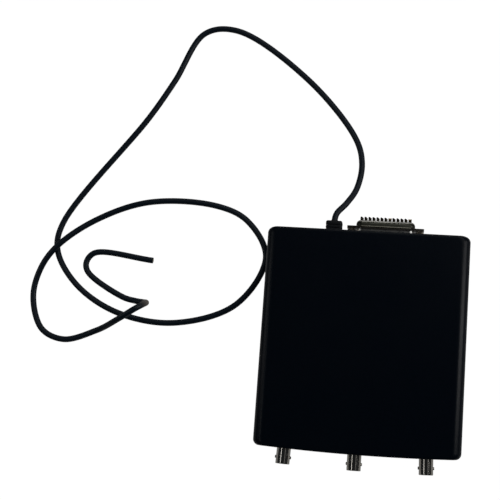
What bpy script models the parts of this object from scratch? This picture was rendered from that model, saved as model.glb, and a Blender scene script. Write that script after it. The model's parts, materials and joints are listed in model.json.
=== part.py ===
"""A PC oscilloscope: a flat case with three bayonet sockets, a 25-way port with its plug, and a lead."""

import math

import bmesh
import bpy
from mathutils import Matrix, Vector

# Fits that every piece shares
CLEARANCE = 0.0003
CUT_MARGIN = 0.0020
MERGE_DISTANCE = 0.000001
ARC_STEPS = 4
SHARP_ANGLE = math.radians(35)

# Case: two moulded half shells, rounded along the sides and slightly bowed at the front
CASE_WIDTH = 0.1400
CASE_LENGTH = 0.1508  # from the rear edge to the front corners
CASE_HEIGHT = 0.0235
FRONT_BOW = 0.0019
FRONT_STEPS = 8
SIDE_RADIUS = 0.0065
END_RADIUS = 0.0012
CORNER_RADIUS = 0.0040
INNER_CORNER = 0.0008
WALL = 0.0022
LIP_DEPTH = 0.0030  # how far the end panels stand back from the ends of the case
LIP_WIDTH = 0.0012  # how far the ends of the case reach in over the panels
PANEL_THICKNESS = 0.0015
RIB_WIDTH = 0.0060
RIB_DEPTH = 0.0016
RIB_HEIGHT = 0.0025
REAR_RIB_INSET = 0.0180  # from the sides of the case

# Feet: rubber discs glued into shallow pockets
FOOT_HEIGHT = 0.0015  # below the case
FOOT_RADIUS = 0.0055
FOOT_CHAMFER = 0.0005
FOOT_POCKET = 0.0008
FOOT_SIDE_INSET = 0.0140
FOOT_END_INSET = 0.0110
FOOT_SIDES = 16

# Case screws: driven from below through the board into the upper shell
SCREW_RADIUS = 0.00145
SCREW_HEAD_RADIUS = 0.0028
SCREW_HEAD_HEIGHT = 0.0018
SCREW_BITE = 0.0080  # length above the board
SCREW_SLOT_WIDTH = 0.0008
SCREW_SLOT_LENGTH = 0.0034
SCREW_SLOT_DEPTH = 0.0010
SCREW_RECESS = 0.0024
SCREW_SIDE_INSET = 0.0110
SCREW_FRONT_INSET = 0.0270
SCREW_REAR_INSET = 0.0250
BOSS_WALL = 0.0018

# Main board
BOARD_THICKNESS = 0.0016
BOARD_LIFT = 0.0041  # from the underside of the case to the underside of the board
BOARD_SIDE_GAP = 0.0020
BOARD_END_GAP = 0.0022

# Bayonet sockets, each square to the bowed front panel
SOCKET_COUNT = 3
SOCKET_SPACING = 0.0479
SOCKET_SHIFT = -0.0009  # of the middle socket, from the middle of the case
SOCKET_RISE = 0.0005  # axis above the middle of the case
SOCKET_REACH = 0.0106  # beyond the front edge of the case
BARREL_RADIUS = 0.0048
BARREL_CHAMFER = 0.0004
BARREL_BORE = 0.00405
BARREL_BORE_DEPTH = 0.0090
THREAD_RADIUS = 0.0046
THREAD_LENGTH = 0.0030
SHOULDER_RADIUS = 0.0060
SHOULDER_HEIGHT = 0.0012
SLEEVE_LENGTH = 0.0050
LUG_RADIUS = 0.0010
LUG_SPAN = 0.0110
LUG_SETBACK = 0.0045
DIELECTRIC_RADIUS = 0.00245
DIELECTRIC_SETBACK = 0.0025
DIELECTRIC_DISC = 0.0013
CONTACT_RADIUS = 0.0010
CONTACT_BORE = 0.0006
CONTACT_BORE_DEPTH = 0.0040
CONTACT_SETBACK = 0.0005  # from the front of the dielectric
CONTACT_TAIL = 0.0015
NUT_FLATS = 0.0130
NUT_THICKNESS = 0.0020
HOUSING_WIDTH = 0.0130
HOUSING_DEPTH = 0.0110
BARREL_SIDES = 20
ROUND_SIDES = 12

# 25-way port and the plug that pulls off it
PORT_X = 0.0115
PORT_RISE = 0.0005  # axis above the middle of the case
D_WIDTH = 0.0384  # of the port's shell, over its wide side
D_DEPTH = 0.0079
D_TAPER = math.radians(10)
D_RADIUS = 0.0024
D_STEPS = 3
SHELL_WALL = 0.00045
SHELL_FIT = 0.0003
SHELL_END_GAP = 0.0013
FLANGE_WIDTH = 0.05304
FLANGE_DEPTH = 0.01255
FLANGE_THICKNESS = 0.0005
FLANGE_RADIUS = 0.0012
FLANGE_HOLE = 0.00155
FLANGE_HOLE_SPACING = 0.04704
POST_FLATS = 0.0050
POST_HEIGHT = 0.0054
POST_BORE = 0.0013
POST_BORE_DEPTH = 0.0038
STUD_RADIUS = 0.00125
STUD_GRIP = 0.0030  # length behind the port's flange
PIN_PITCH = 0.00277
PIN_ROWS = (13, 12)
ROW_SPACING = 0.00284
PIN_RADIUS = 0.0005
PIN_LENGTH = 0.0052
PIN_SIDES = 6
SHANK_RADIUS = 0.00085
CUP_RADIUS = 0.0010
CUP_BORE = 0.00065
CUP_DEPTH = 0.0028
CUP_REACH = 0.0035  # beyond the plug's rear shell, in the upper row
LOWER_CUP_REACH = 0.0008
CUP_SLANT = math.radians(35)
CUP_LIP = 0.0003  # from the cup's axis to where its slanted end starts
CUP_SIDES = 6
CARRIER_DEPTH = 0.0005
CARRIER_HEIGHT = 0.0013
REAR_SHELL_GROW = 0.0016
REAR_SHELL_DEPTH = 0.0046
REAR_SHELL_ROLL = 0.0030  # radius of its back edge, which turns in round the contacts
ROLL_SWEEP = math.radians(65)
ROLL_STEPS = 3
PLUG_FACE_STEP = 0.0004  # how far the plug's front insulator stands out of its flange
PORT_BLOCK_WIDTH = 0.0400
PORT_BLOCK_TOP = 0.0052  # above the port's axis
PORT_BLOCK_DEPTH = 0.0090
PIN_HOLE_DEPTH = 0.0080
TAIL_WIDTH = 0.0005
TAIL_THICKNESS = 0.0004

# Lead: a moulded strain relief, the free lead behind the case and its tail on the board
CABLE_DIAMETER = 0.0043
CABLE_REST_GAP = 0.0001
RELIEF_X = -0.0244
RELIEF_WIDTH = 0.0115
RELIEF_DEPTH = 0.0094
RELIEF_REACH = 0.0075  # beyond the rear edge of the case
RELIEF_RADIUS = 0.0018
RELIEF_STEPS = 2
RELIEF_NECK_SHRINK = 0.0010
RELIEF_COLLAR_GROW = 0.0008
RELIEF_COLLAR = 0.0020
RELIEF_GROOVES = 2
RELIEF_GROOVE_WIDTH = 0.0009
RELIEF_GROOVE_DEPTH = 0.0005
RELIEF_NOSE = 0.0012
RELIEF_NOSE_STEPS = 3
HEADER_WIDTH = 0.0100
HEADER_DEPTH = 0.0060
HEADER_HEIGHT = 0.0062
HEADER_SETBACK = 0.0200  # behind the strain relief's collar
TAIL_EASE = 0.25  # share of the tail that runs level at each end

# Electronics on the board
SHIELD_WIDTH = 0.1000
SHIELD_LENGTH = 0.0360
SHIELD_HEIGHT = 0.0100
SHIELD_SHEET = 0.0004
SHIELD_SETBACK = 0.0035  # behind the sockets' housings
CHIP_BEVEL = 0.0003
CHIP_GAP = 0.0060  # between neighbours on the board
CONVERTER_SPREAD = 0.0360
CONVERTER_SIZE = (0.0100, 0.0100, 0.0014)
LOGIC_SIZE = (0.0200, 0.0200, 0.0016)
MEMORY_SIZE = (0.0184, 0.0080, 0.0012)
USB_SIZE = (0.0140, 0.0140, 0.0014)
CLOCK_SIZE = (0.0110, 0.0046, 0.0036)
CHOKE_SIZE = (0.0120, 0.0120, 0.0060)

# Free lead: points that it passes through, as x, y and its rise above lying on the table
LEAD_ROUTE = (
    (-0.0240, 0.0864, 0.0105),
    (-0.0228, 0.0897, 0.0098),
    (-0.0168, 0.0974, 0.0068),
    (-0.0104, 0.1096, 0.0021),
    (-0.0079, 0.1281, 0.0),
    (-0.0133, 0.1463, 0.0),
    (-0.0509, 0.1896, 0.0),
    (-0.1055, 0.2251, 0.0),
    (-0.1299, 0.2222, 0.0),
    (-0.1494, 0.1847, 0.0),
    (-0.1662, 0.1560, 0.0),
    (-0.2235, 0.0733, 0.0),
    (-0.2253, 0.0531, 0.0),
    (-0.2089, 0.0290, 0.0),
    (-0.1770, 0.0105, 0.0),
    (-0.1344, 0.0056, 0.0),
    (-0.0909, 0.0216, 0.0),
    (-0.0722, 0.0565, 0.0),
    (-0.0873, 0.0821, 0.0),
    (-0.1108, 0.0921, 0.0),
    (-0.1603, 0.0923, 0.0),
    (-0.1976, 0.0775, 0.0010),
    (-0.2239, 0.0561, 0.0051),
    (-0.2358, 0.0394, 0.0020),
    (-0.2400, 0.0185, 0.0),
    (-0.2312, -0.0047, 0.0),
    (-0.2141, -0.0113, 0.0),
    (-0.1902, -0.0035, 0.0017),
    (-0.1718, 0.0045, 0.0152),
    (-0.1599, 0.0119, 0.0190),
    (-0.1553, 0.0156, 0.0154),
    (-0.1544, 0.0179, 0.0082),
    (-0.1575, 0.0187, 0.0031),
    (-0.1641, 0.0196, 0.0003),
    (-0.1738, 0.0219, 0.0),
    (-0.2010, 0.0385, 0.0),
    (-0.2029, 0.0458, 0.0),
    (-0.1973, 0.0528, 0.0),
    (-0.1539, 0.0496, 0.0),
)
LEAD_STEPS = 2
LEAD_SIDE_STEPS = 2

# Places that follow from the sizes, with the origin under the middle of the part
SOCKET_LENGTH = SOCKET_REACH + LIP_DEPTH + CLEARANCE
PLUG_STAND = POST_HEIGHT + CLEARANCE - LIP_DEPTH  # from the rear edge of the case to the plug's flange
PLUG_BACK = 2 * FLANGE_THICKNESS + CLEARANCE + REAR_SHELL_DEPTH
PLUG_REACH = PLUG_STAND + PLUG_BACK + CUP_REACH
OVERALL_LENGTH = SOCKET_REACH + FRONT_BOW + CASE_LENGTH + PLUG_REACH
FRONT_CORNER_Y = SOCKET_REACH + FRONT_BOW - OVERALL_LENGTH / 2
REAR_EDGE_Y = FRONT_CORNER_Y + CASE_LENGTH
CASE_BOTTOM = FOOT_HEIGHT
CASE_MIDDLE = CASE_BOTTOM + CASE_HEIGHT / 2
CASE_TOP = CASE_BOTTOM + CASE_HEIGHT
BOARD_UNDER = CASE_BOTTOM + BOARD_LIFT
BOARD_TOP = BOARD_UNDER + BOARD_THICKNESS
SOCKET_HEIGHT = CASE_MIDDLE + SOCKET_RISE
PORT_HEIGHT = CASE_MIDDLE + PORT_RISE
RELIEF_HEIGHT = BOARD_TOP + CLEARANCE + RELIEF_COLLAR_GROW + RELIEF_DEPTH / 2  # axis, clear of the board
FRONT_PANEL_Y = FRONT_CORNER_Y + LIP_DEPTH + CLEARANCE  # outer face, at the corners
REAR_PANEL_Y = REAR_EDGE_Y - LIP_DEPTH - CLEARANCE  # outer face
REAR_PANEL_IN_Y = REAR_PANEL_Y - PANEL_THICKNESS
PORT_FLANGE_Y = REAR_PANEL_IN_Y - CLEARANCE
PLUG_FLANGE_Y = REAR_EDGE_Y + PLUG_STAND
MATED_GAP = PLUG_FLANGE_Y - PORT_FLANGE_Y
HOUSING_FRONT = PANEL_THICKNESS + 2 * CLEARANCE + SHOULDER_HEIGHT  # behind the panel's outer face
SCREW_X = CASE_WIDTH / 2 - SCREW_SIDE_INSET
SCREW_PLACES = [
    (side * SCREW_X, y)
    for y in (FRONT_CORNER_Y + SCREW_FRONT_INSET, REAR_EDGE_Y - SCREW_REAR_INSET)
    for side in (-1, 1)
]
FOOT_PLACES = [
    (side * (CASE_WIDTH / 2 - FOOT_SIDE_INSET), y)
    for y in (FRONT_CORNER_Y + FOOT_END_INSET, REAR_EDGE_Y - FOOT_END_INSET)
    for side in (-1, 1)
]


# Scene

for old in list(bpy.data.objects):
    bpy.data.objects.remove(old)

parts = bpy.data.collections.new("pc_oscilloscope")
cutters = bpy.data.collections.new("cutters")
bpy.context.scene.collection.children.link(parts)
bpy.context.scene.collection.children.link(cutters)


def material(name, finish):
    """A piece's own plain material, from the colour, roughness and metallic value of its finish."""
    colour, roughness, metallic = finish
    made = bpy.data.materials.new(name)
    made.use_nodes = True
    shader = made.node_tree.nodes["Principled BSDF"]
    shader.inputs["Base Color"].default_value = (*colour, 1)
    shader.inputs["Roughness"].default_value = roughness
    shader.inputs["Metallic"].default_value = metallic
    return made


# Finishes: colour, roughness and metallic value
CASE_PLASTIC = ((0.010, 0.011, 0.014), 0.42, 0.0)
PANEL_PLASTIC = ((0.012, 0.012, 0.013), 0.50, 0.0)
FOOT_RUBBER = ((0.014, 0.014, 0.015), 0.85, 0.0)
SCREW_STEEL = ((0.30, 0.30, 0.31), 0.35, 1.0)
BOARD_LAMINATE = ((0.015, 0.090, 0.035), 0.45, 0.0)
CHIP_EPOXY = ((0.020, 0.020, 0.022), 0.50, 0.0)
TIN_PLATE = ((0.55, 0.54, 0.48), 0.35, 1.0)
NICKEL_PLATE = ((0.62, 0.60, 0.56), 0.22, 1.0)
GOLD_PLATE = ((0.80, 0.58, 0.25), 0.28, 1.0)
POST_BRASS = ((0.62, 0.48, 0.26), 0.35, 1.0)
BLACK_MOULDING = ((0.014, 0.014, 0.015), 0.55, 0.0)
WHITE_MOULDING = ((0.85, 0.84, 0.80), 0.45, 0.0)
LEAD_JACKET = ((0.014, 0.014, 0.015), 0.50, 0.0)


# Meshes

def circle(radius, sides, across=0.0, up=0.0):
    """A round outline about a point."""
    return [
        (across + radius * math.cos(turn), up + radius * math.sin(turn))
        for turn in (2 * math.pi * step / sides for step in range(sides))
    ]


def rectangle(width, depth, across=0.0, up=0.0):
    """A rectangle's corners, counter-clockwise."""
    return [
        (across - width / 2, up - depth / 2),
        (across + width / 2, up - depth / 2),
        (across + width / 2, up + depth / 2),
        (across - width / 2, up + depth / 2),
    ]


def hexagon(flats):
    """A hexagon with two of its flats level, by the distance over them."""
    return circle(flats / math.sqrt(3), 6)


def rounded(corners, radius, steps=ARC_STEPS):
    """A convex outline, counter-clockwise, with its corners rounded."""
    outline = []
    for index, corner in enumerate(corners):
        here = Vector(corner)
        back = (Vector(corners[index - 1]) - here).normalized()
        ahead = (Vector(corners[(index + 1) % len(corners)]) - here).normalized()
        half = back.angle(ahead) / 2
        centre = here + (back + ahead).normalized() * (radius / math.sin(half))
        start = here + back * (radius / math.tan(half)) - centre
        first = math.atan2(start.y, start.x)
        for step in range(steps + 1):
            turn = first + (math.pi - 2 * half) * step / steps
            outline.append((centre.x + radius * math.cos(turn), centre.y + radius * math.sin(turn)))
    return outline


def prism(outlines, low, high, axis="Z"):
    """A solid drawn along an axis from flat outlines: the outside, then any holes."""
    curve = bpy.data.curves.new("outline", "CURVE")
    curve.dimensions = "2D"
    curve.fill_mode = "BOTH"
    curve.extrude = (high - low) / 2
    for outline in outlines:
        spline = curve.splines.new("POLY")
        spline.points.add(len(outline) - 1)
        for point, (across, up) in zip(spline.points, outline):
            point.co = (across, up, 0, 1)
        spline.use_cyclic_u = True
    guide = bpy.data.objects.new("outline", curve)
    bpy.context.scene.collection.objects.link(guide)
    graph = bpy.context.evaluated_depsgraph_get()
    mesh = bpy.data.meshes.new_from_object(guide.evaluated_get(graph))
    bpy.data.objects.remove(guide)
    middle = Matrix.Translation((0, 0, (low + high) / 2))
    if axis == "Y":
        middle = Matrix.Translation((0, (low + high) / 2, 0)) @ Matrix.Rotation(math.pi / 2, 4, "X")
    mesh.transform(middle)
    return sealed(mesh)


def sealed(mesh):
    """The mesh with its loose caps welded on and its faces turned out."""
    shape = bmesh.new()
    shape.from_mesh(mesh)
    bmesh.ops.remove_doubles(shape, verts=shape.verts, dist=MERGE_DISTANCE)
    bmesh.ops.recalc_face_normals(shape, faces=shape.faces)
    shape.to_mesh(mesh)
    shape.free()
    return mesh


def block(size, middle):
    """A plain box by its size and middle."""
    shape = bmesh.new()
    bmesh.ops.create_cube(shape, matrix=Matrix.Translation(middle) @ Matrix.Diagonal((*size, 1)))
    mesh = bpy.data.meshes.new("block")
    shape.to_mesh(mesh)
    shape.free()
    return mesh


def rod(radius, start, end, sides):
    """A cylinder between two points."""
    start, end = Vector(start), Vector(end)
    turn = Vector((0, 0, 1)).rotation_difference(end - start).to_matrix().to_4x4()
    shape = bmesh.new()
    bmesh.ops.create_cone(
        shape,
        cap_ends=True,
        segments=sides,
        radius1=radius,
        radius2=radius,
        depth=(end - start).length,
        matrix=Matrix.Translation((start + end) / 2) @ turn,
    )
    mesh = bpy.data.meshes.new("rod")
    shape.to_mesh(mesh)
    shape.free()
    return mesh


def together(meshes):
    """Several separate solids in one mesh, for a Boolean to join or cut with."""
    shape = bmesh.new()
    for mesh in meshes:
        shape.from_mesh(mesh)
    mesh = bpy.data.meshes.new("group")
    shape.to_mesh(mesh)
    shape.free()
    return mesh


def loft(rows, hollow=None, through=False):
    """A solid skinned over rows of points, capped or with a hollow open at its first row or at both ends."""
    shape = bmesh.new()
    outside = [[shape.verts.new(point) for point in row] for row in rows]
    inside = [[shape.verts.new(point) for point in row] for row in hollow or ()]
    bands = list(zip(outside, outside[1:])) + list(zip(inside, inside[1:]))
    if inside:
        bands.append((outside[0], inside[0]))
    else:
        shape.faces.new(outside[0])
    if through:
        bands.append((outside[-1], inside[-1]))
    else:
        shape.faces.new(outside[-1])
        if inside:
            shape.faces.new(inside[-1])
    for row, above in bands:
        for here in range(len(row)):
            shape.faces.new((row[here - 1], row[here], above[here], above[here - 1]))
    bmesh.ops.recalc_face_normals(shape, faces=shape.faces)
    mesh = bpy.data.meshes.new("loft")
    shape.to_mesh(mesh)
    shape.free()
    return mesh


# Objects

def shade(mesh):
    """Smooth round faces that keep their sharp edges."""
    mesh.shade_smooth()
    mesh.set_sharp_from_angle(angle=SHARP_ANGLE)


def part(name, mesh, finish, parent=None):
    """A named piece of the part with its own material."""
    shade(mesh)
    piece = bpy.data.objects.new(name, mesh)
    mesh.name = name
    mesh.materials.append(material(name, finish))
    parts.objects.link(piece)
    piece.parent = parent
    return piece


def change(piece, operation, mesh):
    """Cut a helper solid out of a piece, join it on, or keep only what they share."""
    helper = bpy.data.objects.new(f"{piece.name}_{operation.lower()}", mesh)
    helper.hide_render = True
    helper.display_type = "WIRE"
    cutters.objects.link(helper)
    helper.parent = piece.parent
    helper.location = piece.location
    helper.rotation_euler = piece.rotation_euler
    modifier = piece.modifiers.new(operation.lower(), "BOOLEAN")
    modifier.operation = operation
    modifier.object = helper


def turned(name, profile, sides, finish, parent=None, ring=False):
    """A turned piece about its local Z: a profile of radius and height that runs down the outer side."""
    shape = bmesh.new()
    corners = [shape.verts.new((radius, 0, height)) for radius, height in profile]
    ends = corners[1:] + corners[:1] if ring else corners[1:]
    for first, second in zip(corners, ends):
        shape.edges.new((first, second))
    mesh = bpy.data.meshes.new(name)
    shape.to_mesh(mesh)
    shape.free()
    piece = part(name, mesh, finish, parent)
    screw = piece.modifiers.new("turn", "SCREW")
    screw.steps = sides
    screw.render_steps = sides
    screw.use_merge_vertices = True
    screw.merge_threshold = MERGE_DISTANCE
    screw.use_smooth_shade = True
    return piece


def axis_empty(name, place, turn=0.0):
    """An empty that carries the pieces on one axis."""
    empty = bpy.data.objects.new(name, None)
    empty.location = place
    empty.rotation_euler = (0, 0, turn)
    parts.objects.link(empty)
    return empty


# Case shells

def bowed(across):
    """How far the bowed front stands out from its corners, at a distance from the middle."""
    return FRONT_BOW * (1 - (2 * across / CASE_WIDTH) ** 2)


def edge_inset(below, radius):
    """How far a rounded edge has drawn in, at a depth below the flat face."""
    if below >= radius:
        return 0.0
    return radius - math.sqrt(radius**2 - (radius - below) ** 2)


def case_row(side_inset, end_inset, radius, height):
    """One level of the case: its outline in plan, drawn in at the sides and ends."""
    front, rear = FRONT_CORNER_Y + end_inset, REAR_EDGE_Y - end_inset
    plan = rectangle(CASE_WIDTH - 2 * side_inset, rear - front, up=(front + rear) / 2)
    outline = rounded(plan, radius)
    left, right = outline[ARC_STEPS][0], outline[ARC_STEPS + 1][0]
    edge = [(left + (right - left) * step / FRONT_STEPS, front) for step in range(1, FRONT_STEPS)]
    outline[ARC_STEPS + 1:ARC_STEPS + 1] = edge
    middle = (front + rear) / 2
    return [(x, y - bowed(x) if y < middle else y, height) for x, y in outline]


def shell_heights(depth, radius):
    """Levels from the seam out to the flat face, close together over the rounded edge."""
    turns = [math.pi / 2 * step / ARC_STEPS for step in range(ARC_STEPS + 1)]
    return [0.0] + [depth - radius * (1 - math.sin(turn)) for turn in turns]


def half_shell(name, side):
    """An upper (1) or lower (-1) half of the case, open at the seam and at both ends."""
    seam = CASE_MIDDLE + side * CLEARANCE / 2
    depth = (CASE_HEIGHT - CLEARANCE) / 2
    outside = [
        case_row(
            edge_inset(depth - height, SIDE_RADIUS),
            edge_inset(depth - height, END_RADIUS),
            CORNER_RADIUS,
            seam + side * height,
        )
        for height in shell_heights(depth, SIDE_RADIUS)
    ]
    hollow_depth = depth - WALL
    hollow_radius = SIDE_RADIUS - WALL
    hollow = [
        case_row(
            WALL + edge_inset(hollow_depth - height, hollow_radius),
            LIP_DEPTH,
            INNER_CORNER,
            seam + side * height,
        )
        for height in shell_heights(hollow_depth, hollow_radius)
    ]
    shell = part(name, loft(outside, hollow), CASE_PLASTIC)
    border = WALL + LIP_WIDTH
    window = rounded(
        rectangle(CASE_WIDTH - 2 * border, CASE_HEIGHT - 2 * border, up=CASE_MIDDLE),
        SIDE_RADIUS - border,
    )
    front_cut = (FRONT_CORNER_Y - FRONT_BOW - CUT_MARGIN, FRONT_CORNER_Y + LIP_DEPTH + CUT_MARGIN)
    rear_cut = (REAR_EDGE_Y - LIP_DEPTH - CUT_MARGIN, REAR_EDGE_Y + CUT_MARGIN)
    windows = [prism([window], low, high, "Y") for low, high in (front_cut, rear_cut)]
    change(shell, "DIFFERENCE", together(windows))
    return shell


def panel_ribs(flat_face, side):
    """The four ribs of one shell that stand behind the end panels, rooted in its flat wall."""
    ribs = []
    height = RIB_HEIGHT + WALL / 2
    z = flat_face - side * (WALL / 2 + height / 2)
    rear_x = CASE_WIDTH / 2 - REAR_RIB_INSET
    rear_y = REAR_PANEL_IN_Y - CLEARANCE - RIB_DEPTH
    places = [(-rear_x, rear_y), (rear_x, rear_y)]
    for x in (SOCKET_SHIFT - SOCKET_SPACING / 2, SOCKET_SHIFT + SOCKET_SPACING / 2):
        bow = bowed(abs(x) + RIB_WIDTH / 2)
        places.append((x, FRONT_PANEL_Y - bow + PANEL_THICKNESS + CLEARANCE))
    for x, y in places:
        ribs.append(block((RIB_WIDTH, RIB_DEPTH, height), (x, y + RIB_DEPTH / 2, z)))
    return ribs


def screw_posts(radius, low, high):
    """Upright cylinders at the four case screws."""
    return [rod(radius, (x, y, low), (x, y, high), ROUND_SIDES) for x, y in SCREW_PLACES]


boss_radius = SCREW_RADIUS + CLEARANCE + BOSS_WALL
seat_radius = SCREW_HEAD_RADIUS + CLEARANCE + BOSS_WALL
recess_top = CASE_BOTTOM + SCREW_RECESS

top_shell = half_shell("top_shell", 1)
upper_bosses = screw_posts(boss_radius, BOARD_TOP + CLEARANCE, CASE_TOP - WALL / 2)
change(top_shell, "UNION", together(upper_bosses + panel_ribs(CASE_TOP, 1)))
pilot_top = BOARD_TOP + SCREW_BITE + CLEARANCE
pilots = screw_posts(SCREW_RADIUS + CLEARANCE, BOARD_TOP - CUT_MARGIN, pilot_top)
change(top_shell, "DIFFERENCE", together(pilots))

bottom_shell = half_shell("bottom_shell", -1)
lower_bosses = screw_posts(seat_radius, CASE_BOTTOM + WALL / 2, BOARD_UNDER - CLEARANCE)
change(bottom_shell, "UNION", together(lower_bosses + panel_ribs(CASE_BOTTOM, -1)))
shaft_holes = screw_posts(SCREW_RADIUS + CLEARANCE, CASE_BOTTOM - CUT_MARGIN, BOARD_UNDER + CUT_MARGIN)
change(bottom_shell, "DIFFERENCE", together(shaft_holes))
recesses = screw_posts(SCREW_HEAD_RADIUS + CLEARANCE, CASE_BOTTOM - CUT_MARGIN, recess_top)
pocket_low = CASE_BOTTOM - CUT_MARGIN
pocket_high = CASE_BOTTOM + FOOT_POCKET
pockets = [
    rod(FOOT_RADIUS + CLEARANCE, (x, y, pocket_low), (x, y, pocket_high), FOOT_SIDES)
    for x, y in FOOT_PLACES
]
change(bottom_shell, "DIFFERENCE", together(recesses + pockets))


# Feet and case screws

foot_top = FOOT_HEIGHT + FOOT_POCKET - CLEARANCE
for number, (x, y) in enumerate(FOOT_PLACES, 1):
    foot = turned(
        f"foot_{number}",
        [
            (0, foot_top),
            (FOOT_RADIUS, foot_top),
            (FOOT_RADIUS, FOOT_CHAMFER),
            (FOOT_RADIUS - FOOT_CHAMFER, 0),
            (0, 0),
        ],
        FOOT_SIDES,
        FOOT_RUBBER,
    )
    foot.location = (x, y, 0)

head_top = recess_top - CLEARANCE
head_under = head_top - SCREW_HEAD_HEIGHT
screw_tip = BOARD_TOP + SCREW_BITE
for number, (x, y) in enumerate(SCREW_PLACES, 1):
    screw = turned(
        f"case_screw_{number}",
        [
            (0, screw_tip),
            (SCREW_RADIUS, screw_tip - SCREW_RADIUS),
            (SCREW_RADIUS, head_top),
            (SCREW_HEAD_RADIUS, head_top),
            (SCREW_HEAD_RADIUS, head_under),
            (0, head_under),
        ],
        ROUND_SIDES,
        SCREW_STEEL,
    )
    screw.location = (x, y, 0)
    slot_size = (SCREW_SLOT_LENGTH, SCREW_SLOT_WIDTH, 2 * SCREW_SLOT_DEPTH)
    change(screw, "DIFFERENCE", block(slot_size, (0, 0, head_under)))


# End panels: the front one is bowed with the case, the rear one is flat

inner_width = CASE_WIDTH - 2 * (WALL + CLEARANCE)
inner_height = CASE_HEIGHT - 2 * (WALL + CLEARANCE)
panel_face = rounded(
    rectangle(inner_width, inner_height, up=CASE_MIDDLE),
    SIDE_RADIUS - WALL - CLEARANCE,
)
socket_xs = [
    SOCKET_SHIFT + SOCKET_SPACING * (index - (SOCKET_COUNT - 1) / 2) for index in range(SOCKET_COUNT)
]
socket_turns = [math.atan(8 * FRONT_BOW * x / CASE_WIDTH**2) for x in socket_xs]
socket_ys = [FRONT_PANEL_Y - bowed(x) for x in socket_xs]

strip_steps = 2 * FRONT_STEPS
strip_xs = [inner_width * (step / strip_steps - 0.5) for step in range(strip_steps + 1)]
strip_front = [(x, FRONT_PANEL_Y - bowed(x)) for x in strip_xs]
strip_back = [(x, y + PANEL_THICKNESS) for x, y in reversed(strip_front)]
panel_low = CASE_MIDDLE - inner_height / 2
panel_high = CASE_MIDDLE + inner_height / 2
front_panel = part(
    "front_panel",
    prism([strip_front + strip_back], panel_low - CUT_MARGIN, panel_high + CUT_MARGIN),
    PANEL_PLASTIC,
)
face_span = (FRONT_PANEL_Y - FRONT_BOW - CUT_MARGIN, FRONT_PANEL_Y + PANEL_THICKNESS + CUT_MARGIN)
change(front_panel, "INTERSECT", prism([panel_face], *face_span, "Y"))
socket_holes = []
for x, y, turn in zip(socket_xs, socket_ys, socket_turns):
    outward = Vector((math.sin(turn), -math.cos(turn), 0)) * (PANEL_THICKNESS + CUT_MARGIN)
    centre = Vector((x, y, SOCKET_HEIGHT))
    socket_holes.append(rod(BARREL_RADIUS + CLEARANCE, centre - outward, centre + outward, BARREL_SIDES))
change(front_panel, "DIFFERENCE", together(socket_holes))


def d_outline(grow, across=0.0, up=0.0):
    """The tapered outline of the 25-way shells, wide side up, moved out by a distance all round."""
    slant = grow / math.cos(D_TAPER)
    top = D_WIDTH / 2 + slant + grow * math.tan(D_TAPER)
    bottom = D_WIDTH / 2 - D_DEPTH * math.tan(D_TAPER) + slant - grow * math.tan(D_TAPER)
    half = D_DEPTH / 2 + grow
    corners = [
        (across - bottom, up - half),
        (across + bottom, up - half),
        (across + top, up + half),
        (across - top, up + half),
    ]
    return rounded(corners, D_RADIUS + grow, D_STEPS)


def flange_holes(radius, across=0.0, up=0.0):
    """The two round holes at the ends of a flange."""
    half = FLANGE_HOLE_SPACING / 2
    return [circle(radius, ROUND_SIDES, across + side * half, up) for side in (-1, 1)]


neck_width = RELIEF_WIDTH - 2 * RELIEF_NECK_SHRINK
neck_depth = RELIEF_DEPTH - 2 * RELIEF_NECK_SHRINK
relief_slot = rounded(
    rectangle(neck_width + 2 * CLEARANCE, neck_depth + 2 * CLEARANCE, RELIEF_X, RELIEF_HEIGHT),
    RELIEF_RADIUS - RELIEF_NECK_SHRINK + CLEARANCE,
)
plug_way = SHELL_FIT + SHELL_WALL + CLEARANCE
rear_face = [
    panel_face,
    d_outline(plug_way, PORT_X, PORT_HEIGHT),
    *flange_holes(STUD_RADIUS + CLEARANCE, PORT_X, PORT_HEIGHT),
    relief_slot,
]
part("rear_panel", prism(rear_face, REAR_PANEL_IN_Y, REAR_PANEL_Y, "Y"), PANEL_PLASTIC)


# Main board

board_width = CASE_WIDTH - 2 * (WALL + BOARD_SIDE_GAP)
board_front = FRONT_PANEL_Y + PANEL_THICKNESS + BOARD_END_GAP
board_rear = REAR_PANEL_IN_Y - BOARD_END_GAP
board_plan = [rectangle(board_width, board_rear - board_front, up=(board_front + board_rear) / 2)]
board_plan += [circle(SCREW_RADIUS + CLEARANCE, ROUND_SIDES, x, y) for x, y in SCREW_PLACES]
part("main_board", prism(board_plan, BOARD_UNDER, BOARD_TOP), BOARD_LAMINATE)


# Bayonet sockets

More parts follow.
